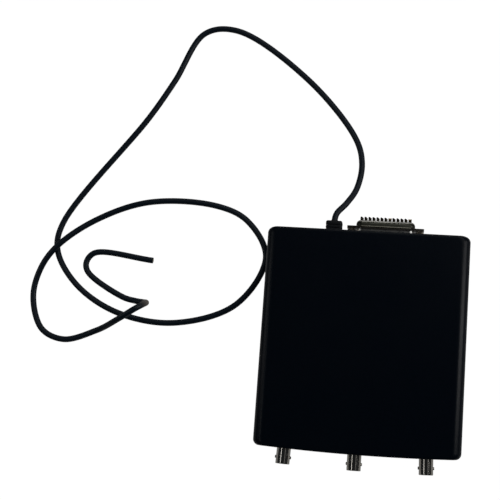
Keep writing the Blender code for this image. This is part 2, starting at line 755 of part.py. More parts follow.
def bayonet_socket(number, x, y, turn):
    """One socket on an axis square to the panel: barrel, nut, housing, dielectric and centre contact."""
    axis = axis_empty(f"socket_axis_{number}", (x, y, SOCKET_HEIGHT), turn)
    outward = (math.pi / 2, 0, 0)
    shoulder_top = -PANEL_THICKNESS - CLEARANCE
    shoulder_low = shoulder_top - SHOULDER_HEIGHT
    sleeve_low = shoulder_low - SLEEVE_LENGTH
    bore_floor = SOCKET_LENGTH - BARREL_BORE_DEPTH
    barrel = turned(
        f"socket_barrel_{number}",
        [
            (BARREL_RADIUS - BARREL_CHAMFER, SOCKET_LENGTH),
            (BARREL_RADIUS, SOCKET_LENGTH - BARREL_CHAMFER),
            (BARREL_RADIUS, THREAD_LENGTH),
            (THREAD_RADIUS, THREAD_LENGTH),
            (THREAD_RADIUS, shoulder_top),
            (SHOULDER_RADIUS, shoulder_top),
            (SHOULDER_RADIUS, shoulder_low),
            (THREAD_RADIUS, shoulder_low),
            (THREAD_RADIUS, sleeve_low),
            (DIELECTRIC_RADIUS + CLEARANCE, sleeve_low),
            (DIELECTRIC_RADIUS + CLEARANCE, bore_floor),
            (BARREL_BORE, bore_floor),
            (BARREL_BORE, SOCKET_LENGTH),
        ],
        BARREL_SIDES,
        NICKEL_PLATE,
        axis,
        ring=True,
    )
    barrel.rotation_euler = outward
    lug_root = (BARREL_RADIUS + BARREL_BORE) / 2
    lug_height = SOCKET_LENGTH - LUG_SETBACK
    lug_tip = LUG_SPAN / 2
    lugs = [
        rod(LUG_RADIUS, (side * lug_root, 0, lug_height), (side * lug_tip, 0, lug_height), ROUND_SIDES)
        for side in (-1, 1)
    ]
    change(barrel, "UNION", together(lugs))

    nut_face = [hexagon(NUT_FLATS), circle(THREAD_RADIUS + CLEARANCE, BARREL_SIDES)]
    nut_mesh = prism(nut_face, CLEARANCE, CLEARANCE + NUT_THICKNESS)
    nut = part(f"socket_nut_{number}", nut_mesh, NICKEL_PLATE, axis)
    nut.rotation_euler = outward

    low = BOARD_TOP + CLEARANCE - SOCKET_HEIGHT
    high = HOUSING_WIDTH / 2
    housing_face = [
        rectangle(HOUSING_WIDTH, high - low, up=(high + low) / 2),
        circle(THREAD_RADIUS + CLEARANCE, BARREL_SIDES),
    ]
    housing_mesh = prism(housing_face, -HOUSING_FRONT - HOUSING_DEPTH, -HOUSING_FRONT)
    housing = part(f"socket_housing_{number}", housing_mesh, BLACK_MOULDING, axis)
    housing.rotation_euler = outward

    front = SOCKET_LENGTH - DIELECTRIC_SETBACK
    disc_low = bore_floor + CLEARANCE
    disc_high = disc_low + DIELECTRIC_DISC
    disc_radius = BARREL_BORE - CLEARANCE
    core_hole = CONTACT_RADIUS + CLEARANCE
    dielectric = turned(
        f"socket_dielectric_{number}",
        [
            (DIELECTRIC_RADIUS, front),
            (DIELECTRIC_RADIUS, disc_high),
            (disc_radius, disc_high),
            (disc_radius, disc_low),
            (DIELECTRIC_RADIUS, disc_low),
            (DIELECTRIC_RADIUS, sleeve_low),
            (core_hole, sleeve_low),
            (core_hole, front),
        ],
        ROUND_SIDES,
        WHITE_MOULDING,
        axis,
        ring=True,
    )
    dielectric.rotation_euler = outward

    contact_front = front - CONTACT_SETBACK
    contact_back = sleeve_low - CONTACT_TAIL
    contact = turned(
        f"socket_contact_{number}",
        [
            (0, contact_front - CONTACT_BORE_DEPTH),
            (CONTACT_BORE, contact_front - CONTACT_BORE_DEPTH),
            (CONTACT_BORE, contact_front),
            (CONTACT_RADIUS, contact_front),
            (CONTACT_RADIUS, contact_back),
            (0, contact_back),
        ],
        ROUND_SIDES,
        GOLD_PLATE,
        axis,
    )
    contact.rotation_euler = outward


for number, (x, y, turn) in enumerate(zip(socket_xs, socket_ys, socket_turns), 1):
    bayonet_socket(number, x, y, turn)


# 25-way port, fixed behind the rear panel by its two hexagonal posts

def pin_places():
    """Each contact's place in the plug and port, with its row: 0 is the upper, longer row."""
    for row, count in enumerate(PIN_ROWS):
        for index in range(count):
            yield row, PIN_PITCH * (index - (count - 1) / 2), ROW_SPACING * (0.5 - row)


def rolled_tube(grow, low, high, roll):
    """A tapered tube whose far edge turns in by a radius."""
    turns = [ROLL_SWEEP * step / ROLL_STEPS for step in range(ROLL_STEPS + 1)]
    bend = high - roll * math.sin(ROLL_SWEEP)

    def side(start, radius):
        arc = [(start - radius * (1 - math.cos(turn)), bend + radius * math.sin(turn)) for turn in turns]
        return [[(x, y, z) for x, z in d_outline(distance)] for distance, y in [(start, low), *arc]]

    return loft(side(grow, roll), side(grow - SHELL_WALL, roll - SHELL_WALL), through=True)


def d_shell(name, grow, tube_low, tube_high, flange_low, parent, roll=None):
    """A pressed shell: a tapered tube, its far edge plain or rolled in, on a flange with two holes."""
    plate = [
        rounded(rectangle(FLANGE_WIDTH, FLANGE_DEPTH), FLANGE_RADIUS),
        d_outline(grow - SHELL_WALL / 2),
        *flange_holes(FLANGE_HOLE),
    ]
    plate_mesh = prism(plate, flange_low, flange_low + FLANGE_THICKNESS, "Y")
    shell = part(name, plate_mesh, TIN_PLATE, parent)
    if roll:
        tube = rolled_tube(grow, tube_low, tube_high, roll)
    else:
        tube = prism([d_outline(grow), d_outline(grow - SHELL_WALL)], tube_low, tube_high, "Y")
    change(shell, "UNION", tube)


port = axis_empty("port_axis", (PORT_X, PORT_FLANGE_Y, PORT_HEIGHT))
port_tip = MATED_GAP - SHELL_END_GAP
flange_middle = FLANGE_THICKNESS / 2
d_shell("port_shell", 0.0, -flange_middle, port_tip, -FLANGE_THICKNESS, port)

block_front = -FLANGE_THICKNESS - CLEARANCE
block_rear = block_front - PORT_BLOCK_DEPTH
block_low = BOARD_TOP + CLEARANCE - PORT_HEIGHT
block_middle = (PORT_BLOCK_TOP + block_low) / 2
port_insulator = part(
    "port_insulator",
    prism(
        [rectangle(PORT_BLOCK_WIDTH, PORT_BLOCK_TOP - block_low, up=block_middle)],
        block_rear,
        block_front,
        "Y",
    ),
    BLACK_MOULDING,
    port,
)
port_face = port_tip - CLEARANCE
nose = prism([d_outline(-SHELL_WALL - CLEARANCE)], block_front - CUT_MARGIN, port_face, "Y")
change(port_insulator, "UNION", nose)
pin_ways = [
    rod(
        PIN_RADIUS + CLEARANCE,
        (x, port_face - PIN_HOLE_DEPTH, z),
        (x, port_face + CUT_MARGIN, z),
        PIN_SIDES,
    )
    for _, x, z in pin_places()
]
change(port_insulator, "DIFFERENCE", together(pin_ways))


def tail_comb():
    """The outline of the port's soldered tails: one tooth for each contact under a bar."""
    count = sum(PIN_ROWS)
    pitch = PIN_PITCH / 2
    bar_low, bar_high = -ROW_SPACING / 2 - CARRIER_HEIGHT, ROW_SPACING / 2 + CARRIER_HEIGHT
    outline = []
    for index in range(count):
        x = pitch * (index - (count - 1) / 2)
        outline += [(x - TAIL_WIDTH / 2, bar_low), (x - TAIL_WIDTH / 2, block_low)]
        outline += [(x + TAIL_WIDTH / 2, block_low), (x + TAIL_WIDTH / 2, bar_low)]
    return outline + [(outline[-1][0], bar_high), (outline[0][0], bar_high)]


tails_high = block_rear - CLEARANCE
tails_mesh = prism([tail_comb()], tails_high - TAIL_THICKNESS, tails_high, "Y")
part("port_contacts", tails_mesh, TIN_PLATE, port)

post_low = REAR_PANEL_Y + CLEARANCE - PORT_FLANGE_Y
post_high = post_low + POST_HEIGHT
post_bore_end = post_high - POST_BORE_DEPTH
for name, side in (("jack_post_left", -1), ("jack_post_right", 1)):
    post_mesh = prism([hexagon(POST_FLATS), circle(POST_BORE, ROUND_SIDES)], post_low, post_high, "Y")
    post = part(name, post_mesh, POST_BRASS, port)
    post.location.x = side * FLANGE_HOLE_SPACING / 2
    root_radius = POST_FLATS / 2 - CLEARANCE
    root = rod(root_radius, (0, post_low + CLEARANCE, 0), (0, post_bore_end, 0), ROUND_SIDES)
    stud_start = (0, -FLANGE_THICKNESS - STUD_GRIP, 0)
    stud = rod(STUD_RADIUS, stud_start, (0, post_bore_end - CLEARANCE, 0), ROUND_SIDES)
    change(post, "UNION", root)
    change(post, "UNION", stud)


# Plug: slides off the port along +Y, with its solder cups showing at the back

plug = axis_empty("plug_slide", (PORT_X, PLUG_FLANGE_Y, PORT_HEIGHT))
plug_tip = -(MATED_GAP - SHELL_END_GAP)
rear_flange = FLANGE_THICKNESS + CLEARANCE
d_shell("plug_front_shell", SHELL_FIT + SHELL_WALL, plug_tip, flange_middle, 0.0, plug)
rear_root = rear_flange + flange_middle
d_shell("plug_rear_shell", REAR_SHELL_GROW, rear_root, PLUG_BACK, rear_flange, plug, REAR_SHELL_ROLL)

carrier_low = FLANGE_THICKNESS + CLEARANCE
carrier_high = carrier_low + CARRIER_DEPTH


def plug_insulator(name, grow, low, high, bore, sides):
    """Half of the plug's insulator, with a hole for each contact."""
    holes = [circle(bore + CLEARANCE, sides, x, z) for _, x, z in pin_places()]
    part(name, prism([d_outline(grow), *holes], low, high, "Y"), BLACK_MOULDING, plug)


front_fit = SHELL_FIT - CLEARANCE
front_span = (-PLUG_FACE_STEP, carrier_low - CLEARANCE)
plug_insulator("plug_front_insulator", front_fit, *front_span, PIN_RADIUS, PIN_SIDES)
rear_fit = REAR_SHELL_GROW - SHELL_WALL - CLEARANCE
rear_straight = PLUG_BACK - REAR_SHELL_ROLL * math.sin(ROLL_SWEEP)
rear_span = (carrier_high + CLEARANCE, rear_straight - CLEARANCE)
plug_insulator("plug_rear_insulator", rear_fit, *rear_span, SHANK_RADIUS, CUP_SIDES)
cup_root = rear_straight


def cup_cutter(x, z, back):
    """What opens one solder cup: its round bore, and a wedge that cuts its end on the slant."""
    bore = rod(CUP_BORE, (x, back - CUP_DEPTH, z), (x, back + CUT_MARGIN, z), CUP_SIDES)
    far = CUP_RADIUS + CLEARANCE
    drop = (far + CUP_LIP) * math.tan(CUP_SLANT)
    wedge = [
        (x - CUP_LIP, back),
        (x + far, back - drop),
        (x + far, back + CUT_MARGIN),
        (x - CUP_LIP, back + CUT_MARGIN),
    ]
    return bore, prism([wedge], z - far, z + far)


cup_backs = (PLUG_BACK + CUP_REACH, PLUG_BACK + LOWER_CUP_REACH)
carrier_middle = (carrier_low + carrier_high) / 2
pin_root = carrier_high + PIN_RADIUS
for row, name in enumerate(("plug_contacts_upper", "plug_contacts_lower")):
    places = [(x, z) for which, x, z in pin_places() if which == row]
    cup_back = cup_backs[row]
    level = places[0][1]
    width = places[-1][0] - places[0][0] + SHANK_RADIUS
    carrier = block((width, CARRIER_DEPTH, CARRIER_HEIGHT), (0, carrier_middle, level))
    contacts = part(name, carrier, GOLD_PLATE, plug)
    pins = [rod(PIN_RADIUS, (x, -PIN_LENGTH, z), (x, pin_root, z), PIN_SIDES) for x, z in places]
    shank_end = cup_root + SHANK_RADIUS
    shanks = [rod(SHANK_RADIUS, (x, carrier_middle, z), (x, shank_end, z), CUP_SIDES) for x, z in places]
    cups = [rod(CUP_RADIUS, (x, cup_root, z), (x, cup_back, z), CUP_SIDES) for x, z in places]
    bores, wedges = zip(*(cup_cutter(x, z, cup_back) for x, z in places))
    for tools in (pins, shanks, cups):
        change(contacts, "UNION", together(tools))
    for tools in (bores, wedges):
        change(contacts, "DIFFERENCE", together(tools))


# Lead

relief_end = REAR_EDGE_Y + RELIEF_REACH
collar_low = REAR_PANEL_IN_Y - CLEARANCE - RELIEF_COLLAR


def relief_row(grow, y):
    """One cross-section of the strain relief, drawn in or out all round."""
    face = rounded(
        rectangle(RELIEF_WIDTH + 2 * grow, RELIEF_DEPTH + 2 * grow, RELIEF_X, RELIEF_HEIGHT),
        max(RELIEF_RADIUS + grow, RELIEF_RADIUS / 2),
        RELIEF_STEPS,
    )
    return [(x, y, z) for x, z in face]


relief_rows = [
    (RELIEF_COLLAR_GROW, collar_low),
    (RELIEF_COLLAR_GROW, collar_low + RELIEF_COLLAR),
    (-RELIEF_NECK_SHRINK, collar_low + RELIEF_COLLAR),
    (-RELIEF_NECK_SHRINK, REAR_PANEL_Y + CLEARANCE),
    (0.0, REAR_PANEL_Y + CLEARANCE),
]
rib_pitch = (RELIEF_REACH - RELIEF_NOSE) / (RELIEF_GROOVES + 1)
for groove in range(1, RELIEF_GROOVES + 1):
    middle = REAR_EDGE_Y + rib_pitch * groove
    for step, grow in ((-1, 0.0), (-1, -RELIEF_GROOVE_DEPTH), (1, -RELIEF_GROOVE_DEPTH), (1, 0.0)):
        relief_rows.append((grow, middle + step * RELIEF_GROOVE_WIDTH / 2))
for step in range(RELIEF_NOSE_STEPS + 1):
    turn = math.pi / 2 * step / RELIEF_NOSE_STEPS
    shrink = RELIEF_NOSE * (1 - math.cos(turn))
    relief_rows.append((-shrink, relief_end - RELIEF_NOSE * (1 - math.sin(turn))))
part("strain_relief", loft([relief_row(grow, y) for grow, y in relief_rows]), LEAD_JACKET)


def smooth_route(points, steps):
    """Points read from a smooth curve through the route's own points."""
    points = [Vector(point) for point in points]
    ends = [2 * points[0] - points[1], *points, 2 * points[-1] - points[-2]]
    smooth = []
    for before, start, end, after in zip(ends, ends[1:], ends[2:], ends[3:]):
        times = [0.0]
        for first, second in ((before, start), (start, end), (end, after)):
            times.append(times[-1] + math.sqrt((second - first).length))
        span = times[2] - times[1]
        leave = (start - before) / times[1] - (end - before) / times[2] + (end - start) / span
        ahead = times[3] - times[1]
        arrive = (end - start) / span - (after - start) / ahead + (after - end) / (times[3] - times[2])
        for step in range(steps):
            t = step / steps
            smooth.append(
                start * (2 * t**3 - 3 * t**2 + 1)
                + leave * (span * (t**3 - 2 * t**2 + t))
                + end * (3 * t**2 - 2 * t**3)
                + arrive * (span * (t**3 - t**2))
            )
    return [*smooth, points[-1]]


def tube(name, points, diameter, finish):
    """A round tube with closed ends along a run of points."""
    curve = bpy.data.curves.new(name, "CURVE")
    curve.dimensions = "3D"
    curve.bevel_depth = diameter / 2
    curve.bevel_resolution = LEAD_SIDE_STEPS
    curve.use_fill_caps = True
    spline = curve.splines.new("POLY")
    spline.points.add(len(points) - 1)
    for point, place in zip(spline.points, points):
        point.co = (*place, 1)
    curve.materials.append(material(name, finish))
    parts.objects.link(bpy.data.objects.new(name, curve))


resting = CABLE_DIAMETER / 2 + CABLE_REST_GAP
lead_points = [(RELIEF_X, relief_end + CLEARANCE, RELIEF_HEIGHT)]
lead_points += [(x, y, resting + rise) for x, y, rise in LEAD_ROUTE]
lead_path = [(x, y, max(z, resting)) for x, y, z in smooth_route(lead_points, LEAD_STEPS)]
tube("usb_lead", lead_path, CABLE_DIAMETER, LEAD_JACKET)

header_rear = collar_low - HEADER_SETBACK
header_y = header_rear - HEADER_DEPTH / 2
header_middle = BOARD_TOP + CLEARANCE + HEADER_HEIGHT / 2
header_mesh = block((HEADER_WIDTH, HEADER_DEPTH, HEADER_HEIGHT), (RELIEF_X, header_y, header_middle))
part("lead_header", header_mesh, WHITE_MOULDING)
tail_start = Vector((RELIEF_X, collar_low - CLEARANCE, RELIEF_HEIGHT))
tail_end = Vector((RELIEF_X, header_rear + CLEARANCE, header_middle))
tail_points = [
    tail_start,
    tail_start.lerp(Vector((RELIEF_X, tail_end.y, tail_start.z)), TAIL_EASE),
    (tail_start + tail_end) / 2,
    tail_end.lerp(Vector((RELIEF_X, tail_start.y, tail_end.z)), TAIL_EASE),
    tail_end,
]
tube("lead_tail", smooth_route(tail_points, LEAD_STEPS), CABLE_DIAMETER, LEAD_JACKET)


# Electronics on the board

board_level = BOARD_TOP + CLEARANCE


def chip(name, size, x, y, finish=CHIP_EPOXY):
    """A packaged component standing on the board."""
    piece = part(name, block(size, (x, y, board_level + size[2] / 2)), finish)
    bevel = piece.modifiers.new("edges", "BEVEL")
    bevel.width = CHIP_BEVEL
    bevel.segments = 1


shield_front = FRONT_PANEL_Y + HOUSING_FRONT + HOUSING_DEPTH + SHIELD_SETBACK
shield_y = shield_front + SHIELD_LENGTH / 2
shield_z = board_level + SHIELD_HEIGHT / 2
shield_mesh = block((SHIELD_WIDTH, SHIELD_LENGTH, SHIELD_HEIGHT), (0, shield_y, shield_z))
shield = part("input_shield", shield_mesh, TIN_PLATE)
inside_width = SHIELD_WIDTH - 2 * SHIELD_SHEET
inside_length = SHIELD_LENGTH - 2 * SHIELD_SHEET
inside = block((inside_width, inside_length, SHIELD_HEIGHT), (0, shield_y, shield_z - SHIELD_SHEET))
change(shield, "DIFFERENCE", inside)

converter_front = shield_front + SHIELD_LENGTH + CHIP_GAP
converter_y = converter_front + CONVERTER_SIZE[1] / 2
chip("converter_chip_1", CONVERTER_SIZE, -CONVERTER_SPREAD / 2, converter_y)
chip("converter_chip_2", CONVERTER_SIZE, CONVERTER_SPREAD / 2, converter_y)
logic_y = converter_front + CONVERTER_SIZE[1] + CHIP_GAP + LOGIC_SIZE[1] / 2
chip("logic_chip", LOGIC_SIZE, 0.0, logic_y)
chip("memory_chip", MEMORY_SIZE, LOGIC_SIZE[0] / 2 + CHIP_GAP + MEMORY_SIZE[0] / 2, logic_y)
clock_x = RELIEF_X - HEADER_WIDTH / 2 - CHIP_GAP - CLOCK_SIZE[0] / 2
chip("clock_can", CLOCK_SIZE, clock_x, header_y, TIN_PLATE)
chip("usb_chip", USB_SIZE, clock_x, header_y - CLOCK_SIZE[1] / 2 - CHIP_GAP - USB_SIZE[1] / 2)
chip("power_choke", CHOKE_SIZE, RELIEF_X, header_rear - HEADER_DEPTH - CHIP_GAP - CHOKE_SIZE[1] / 2)
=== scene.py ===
import json
import math

import bmesh
import bpy
from mathutils import Matrix, Vector


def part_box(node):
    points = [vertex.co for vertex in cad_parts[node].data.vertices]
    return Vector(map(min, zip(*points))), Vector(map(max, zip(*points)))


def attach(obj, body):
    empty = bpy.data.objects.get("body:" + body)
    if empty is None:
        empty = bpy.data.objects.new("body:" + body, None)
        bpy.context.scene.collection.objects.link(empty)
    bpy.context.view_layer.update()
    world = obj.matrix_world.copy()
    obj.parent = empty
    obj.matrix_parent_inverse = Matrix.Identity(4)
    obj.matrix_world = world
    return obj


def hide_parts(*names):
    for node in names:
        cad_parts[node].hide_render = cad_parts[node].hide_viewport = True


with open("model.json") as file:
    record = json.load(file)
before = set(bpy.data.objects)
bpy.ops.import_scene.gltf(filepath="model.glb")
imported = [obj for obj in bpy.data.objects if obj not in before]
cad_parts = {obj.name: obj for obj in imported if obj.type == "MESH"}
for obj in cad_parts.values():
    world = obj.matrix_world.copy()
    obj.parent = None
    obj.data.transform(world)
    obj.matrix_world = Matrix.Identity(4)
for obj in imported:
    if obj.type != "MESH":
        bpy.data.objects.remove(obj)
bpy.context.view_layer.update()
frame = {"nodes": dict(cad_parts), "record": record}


# Lower half of the case: an injection moulding in black ABS with a spark-eroded skin, rounded along its
# sides and open at both ends. It carries the board, and the upper half is screwed down onto it.

SHARP_EDGE = math.radians(32)
SAME_POINT = 0.000001
CORNER_SHARE = 0.48
FRONT_BOW = 0.0019
CASE_HEIGHT = 0.0235
SIDE_RADIUS = 0.0065
END_RADIUS = 0.0012
CORNER_RADIUS = 0.0040
INNER_CORNER = 0.0008
WALL = 0.0022
LIP_DEPTH = 0.0030
LIP_WIDTH = 0.0012
SEAM_EASE = 0.00022
RIM_EASE = 0.00035
FLAT_RING = 0.0012
CORNER_STEPS = 10
EDGE_STEPS = 12
EDGE_GAP = 0.0040
CUT_MARGIN = 0.0020

under_low, under_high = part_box("bottom_shell")
upper_low, upper_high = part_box("top_shell")
half_width = under_high.x
front_corner = under_low.y + FRONT_BOW
rear_edge = under_high.y
case_middle = (under_low.z + upper_high.z) / 2


def rectangle(width, depth, across=0.0, up=0.0):
    """A rectangle's corners, counter-clockwise."""
    return [
        (across - width / 2, up - depth / 2),
        (across + width / 2, up - depth / 2),
        (across + width / 2, up + depth / 2),
        (across - width / 2, up + depth / 2),
    ]


def eased(corners, radii, steps):
    """A closed outline with its corners rounded to arcs, by one radius or by one for each corner."""
    if isinstance(radii, float):
        radii = [radii] * len(corners)
    outline = []
    for index, radius in enumerate(radii):
        here = Vector(corners[index])
        back = Vector(corners[index - 1]) - here
        ahead = Vector(corners[(index + 1) % len(corners)]) - here
        half = back.angle(ahead) / 2
        reach = min(radius / math.tan(half), CORNER_SHARE * back.length, CORNER_SHARE * ahead.length)
        if reach < SAME_POINT:
            outline.append(tuple(here))
            continue
        centre = here + (back.normalized() + ahead.normalized()).normalized() * (reach / math.cos(half))
        start = here + back.normalized() * reach - centre
        end = here + ahead.normalized() * reach - centre
        first = math.atan2(start.y, start.x)
        sweep = (math.atan2(end.y, end.x) - first + math.pi) % (2 * math.pi) - math.pi
        for step in range(steps + 1):
            turn = first + sweep * step / steps
            across = centre.x + start.length * math.cos(turn)
            outline.append((across, centre.y + start.length * math.sin(turn)))
    return outline


def spread(outline, gap):
    """A closed outline with its points no further apart than a gap."""
    close = []
    for here, ahead in zip(outline, outline[1:] + outline[:1]):
        here, ahead = Vector(here), Vector(ahead)
        pieces = max(1, math.ceil((ahead - here).length / gap))
        close += [tuple(here.lerp(ahead, step / pieces)) for step in range(pieces)]
    return close


def skin(rows, hollow=(), ring=False):
    """A closed mesh over rows of points: capped, hollow from its first row, or joined up into a ring."""
    shape = bmesh.new()
    outside = [[shape.verts.new(point) for point in row] for row in rows]
    inside = [[shape.verts.new(point) for point in row] for row in hollow]
    bands = list(zip(outside, outside[1:])) + list(zip(inside, inside[1:]))
    if ring:
        bands.append((outside[-1], outside[0]))
    elif inside:
        bands.append((outside[0], inside[0]))
        shape.faces.new(inside[-1])
        shape.faces.new(outside[-1])
    else:
        shape.faces.new(outside[0])
        shape.faces.new(outside[-1])
    for row, above in bands:
        for here in range(len(row)):
            shape.faces.new((row[here - 1], row[here], above[here], above[here - 1]))
    return mesh_of(shape)


def mesh_of(shape):
    """A mesh from edited geometry, with its points welded and its faces turned out."""
    bmesh.ops.remove_doubles(shape, verts=shape.verts, dist=SAME_POINT)
    bmesh.ops.recalc_face_normals(shape, faces=shape.faces)
    mesh = bpy.data.meshes.new("shape")
    shape.to_mesh(mesh)
    shape.free()
    return mesh


def together(meshes):
    """Several closed meshes as one."""
    shape = bmesh.new()
    for mesh in meshes:
        shape.from_mesh(mesh)
    return mesh_of(shape)


def carve(mesh, tool, operation="DIFFERENCE"):
    """A mesh after another is cut out of it, joined to it, or kept only where they meet."""
    work = bpy.data.objects.new("work", mesh)
    helper = bpy.data.objects.new("tool", tool)
    for made in (work, helper):
        bpy.context.scene.collection.objects.link(made)
    change = work.modifiers.new("change", "BOOLEAN")
    change.operation = operation
    change.object = helper
    graph = bpy.context.evaluated_depsgraph_get()
    carved = bpy.data.meshes.new_from_object(work.evaluated_get(graph))
    for made in (work, helper):
        bpy.data.objects.remove(made)
    shape = bmesh.new()
    shape.from_mesh(carved)
    bmesh.ops.dissolve_degenerate(shape, edges=shape.edges, dist=SAME_POINT)
    return mesh_of(shape)


def rod(radius, start, end, sides):
    """A round bar between two points, for cutting and joining."""
    start, end = Vector(start), Vector(end)
    turn = Vector((0, 0, 1)).rotation_difference(end - start).to_matrix().to_4x4()
    shape = bmesh.new()
    bmesh.ops.create_cone(
        shape,
        cap_ends=True,
        segments=sides,
        radius1=radius,
        radius2=radius,
        depth=(end - start).length,
        matrix=Matrix.Translation((start + end) / 2) @ turn,
    )
    return mesh_of(shape)


def place(name, mesh, finish, node, body="case"):
    """A finished piece that rides on a body, stands for a CAD node if it has one, and fills a slot."""
    mesh.shade_smooth()
    mesh.set_sharp_from_angle(angle=SHARP_EDGE)
    mesh.materials.clear()
    mesh.materials.append(finish)
    piece = bpy.data.objects.new(name, mesh)
    bpy.context.scene.collection.objects.link(piece)
    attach(piece, body)
    if node:
        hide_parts(node)
    return piece


def bowed(across):
    """How far the front edge stands out from its corners."""
    return FRONT_BOW * (1 - (across / half_width) ** 2)


def edge_inset(below, radius):
    """How far a rounded edge has drawn in, at a depth below the flat face."""
    if below >= radius:
        return 0.0
    return radius - math.sqrt(radius**2 - (radius - below) ** 2)


def case_row(side_inset, end_inset, corner, height):
    """One level of the case: its outline in plan, drawn in at the sides and ends, with the bowed front."""
    front, rear = front_corner + end_inset, rear_edge - end_inset
    plan = rectangle(2 * (half_width - side_inset), rear - front, up=(front + rear) / 2)
    outline = eased(plan, corner, CORNER_STEPS)
    left, right = outline[CORNER_STEPS], outline[CORNER_STEPS + 1]
    steps = math.ceil(2 * half_width / EDGE_GAP)
    edge = [(left[0] + (right[0] - left[0]) * step / steps, front) for step in range(1, steps)]
    outline[CORNER_STEPS + 1:CORNER_STEPS + 1] = edge
    return [(x, y - bowed(x) if y < 0 else y, height) for x, y in outline]


def half_levels(depth, radius):
    """Levels from the seam out to the flat face, close together over the rounded edge."""
    turns = [math.pi / 2 * step / EDGE_STEPS for step in range(EDGE_STEPS + 1)]
    return [depth - radius * (1 - math.sin(turn)) for turn in turns]


def window_cutter(end):
    """The opening at the front (-1) or rear (1) end, with its rim eased where it meets the end face."""
    border = WALL + LIP_WIDTH
    rows = []
    for grow, inward in (
        (RIM_EASE, -CUT_MARGIN),
        (RIM_EASE, 0.0),
        (0.0, RIM_EASE),
        (0.0, LIP_DEPTH + CUT_MARGIN / 2),
    ):
        width = 2 * (half_width - border + grow)
        height = CASE_HEIGHT - 2 * (border - grow)
        outline = eased(rectangle(width, height, up=case_middle), SIDE_RADIUS - border + grow, CORNER_STEPS)
        row = spread(outline, EDGE_GAP)
        face = rear_edge - inward
        rows.append([(x, face if end > 0 else front_corner - bowed(x) + inward, z) for x, z in row])
    return skin(rows)


def half_case(seam, flat):
    """Half of the case between its seam and its flat face, open at the seam and at both ends."""
    side = 1 if flat > seam else -1
    depth = abs(flat - seam)
    rows = [case_row(SEAM_EASE, SEAM_EASE, CORNER_RADIUS - SEAM_EASE, seam)]
    rows.append(case_row(0.0, 0.0, CORNER_RADIUS, seam + side * SEAM_EASE))
    for level in half_levels(depth, SIDE_RADIUS):
        side_inset = edge_inset(depth - level, SIDE_RADIUS)
        end_inset = edge_inset(depth - level, END_RADIUS)
        rows.append(case_row(side_inset, end_inset, CORNER_RADIUS, seam + side * level))
    rows.append(case_row(SIDE_RADIUS + FLAT_RING, END_RADIUS + FLAT_RING, CORNER_RADIUS, flat))
    room = depth - WALL
    inner_radius = SIDE_RADIUS - WALL
    hollow = [case_row(WALL, LIP_DEPTH, INNER_CORNER, seam)]
    for level in half_levels(room, inner_radius):
        inset = WALL + edge_inset(room - level, inner_radius)
        hollow.append(case_row(inset, LIP_DEPTH, INNER_CORNER, seam + side * level))
    shell = skin(rows, hollow)
    return carve(shell, together([window_cutter(-1), window_cutter(1)]))


def add(tree, kind, inputs, **settings):
    """A shader node with its settings, and its inputs as values or as other nodes' outputs."""
    made = tree.nodes.new("ShaderNode" + kind)
    for setting, value in settings.items():
        setattr(made, setting, value)
    for socket, value in inputs.items():
        if isinstance(value, bpy.types.NodeSocket):
            tree.links.new(value, made.inputs[socket])
        else:
            made.inputs[socket].default_value = value
    return made


def effect(name, inputs, outputs):
    """An empty node group with named sockets, its inputs' sockets, and its closing node."""
    group = bpy.data.node_groups.new(name, "ShaderNodeTree")
    for side, sockets in (("INPUT", inputs), ("OUTPUT", outputs)):
        for socket, kind in sockets.items():
            group.interface.new_socket(socket, in_out=side, socket_type="NodeSocket" + kind)
    entry = group.nodes.new("NodeGroupInput")
    return group, entry.outputs, group.nodes.new("NodeGroupOutput")


def blend(tree, share, first, second):
    """Two colours mixed by a share."""
    mix = add(tree, "Mix", {0: share, 6: first, 7: second}, data_type="RGBA")
    return mix.outputs[2]


def ranged(tree, value, low, high, to_low=0.0, to_high=1.0):
    """A value moved from one range to another, and kept inside it."""
    sockets = {"Value": value, "From Min": low, "From Max": high, "To Min": to_low, "To Max": to_high}
    return add(tree, "MapRange", sockets).outputs["Result"]


def between(tree, share, first, second):
    """A value that goes from one to another by a share."""
    return ranged(tree, share, 0.0, 1.0, first, second)


def times(tree, first, second):
    """The product of two values."""
    return add(tree, "Math", {0: first, 1: second}, operation="MULTIPLY").outputs[0]


def plain_material(name):
    """A new material with its node tree and its shader."""
    made = bpy.data.materials.new(name)
    made.use_nodes = True
    return made, made.node_tree, made.node_tree.nodes["Principled BSDF"]


# The moulded skin that the plastics and rubbers share: fine grain from the tool, and handled patches
SMUDGE_SCALE = 24.0
SMUDGE_RANGE = (0.30, 0.70)
FLECK_SCALE = 650.0
FLECK_RANGE = (0.35, 0.75)
CLEAN_FLECKS = 0.45
moulded_skin, given, result = effect(
    "moulded_skin",
    {
        "Vector": "Vector",
        "Grain": "Float",
        "Deep": "Color",
        "Pale": "Color",
        "Polished": "Float",
        "Matt": "Float",
    },
    {"Color": "Color", "Roughness": "Float", "Height": "Float"},
)
grain = add(
    moulded_skin,
    "TexNoise",
    {"Vector": given["Vector"], "Scale": given["Grain"], "Detail": 3.0, "Roughness": 0.62},
)
smudges = add(
    moulded_skin,
    "TexNoise",
    {"Vector": given["Vector"], "Scale": SMUDGE_SCALE, "Detail": 2.0, "Roughness": 0.5, "Distortion": 0.2},
)
flecks = add(moulded_skin, "TexNoise", {"Vector": given["Vector"], "Scale": FLECK_SCALE, "Detail": 2.0})
handled = ranged(moulded_skin, smudges.outputs["Fac"], *SMUDGE_RANGE)
speckle = ranged(moulded_skin, flecks.outputs["Fac"], *FLECK_RANGE)
paleness = times(moulded_skin, speckle, between(moulded_skin, handled, CLEAN_FLECKS, 1.0))
moulded_skin.links.new(blend(moulded_skin, paleness, given["Deep"], given["Pale"]), result.inputs["Color"])
gloss = between(moulded_skin, handled, given["Matt"], given["Polished"])
moulded_skin.links.new(gloss, result.inputs["Roughness"])
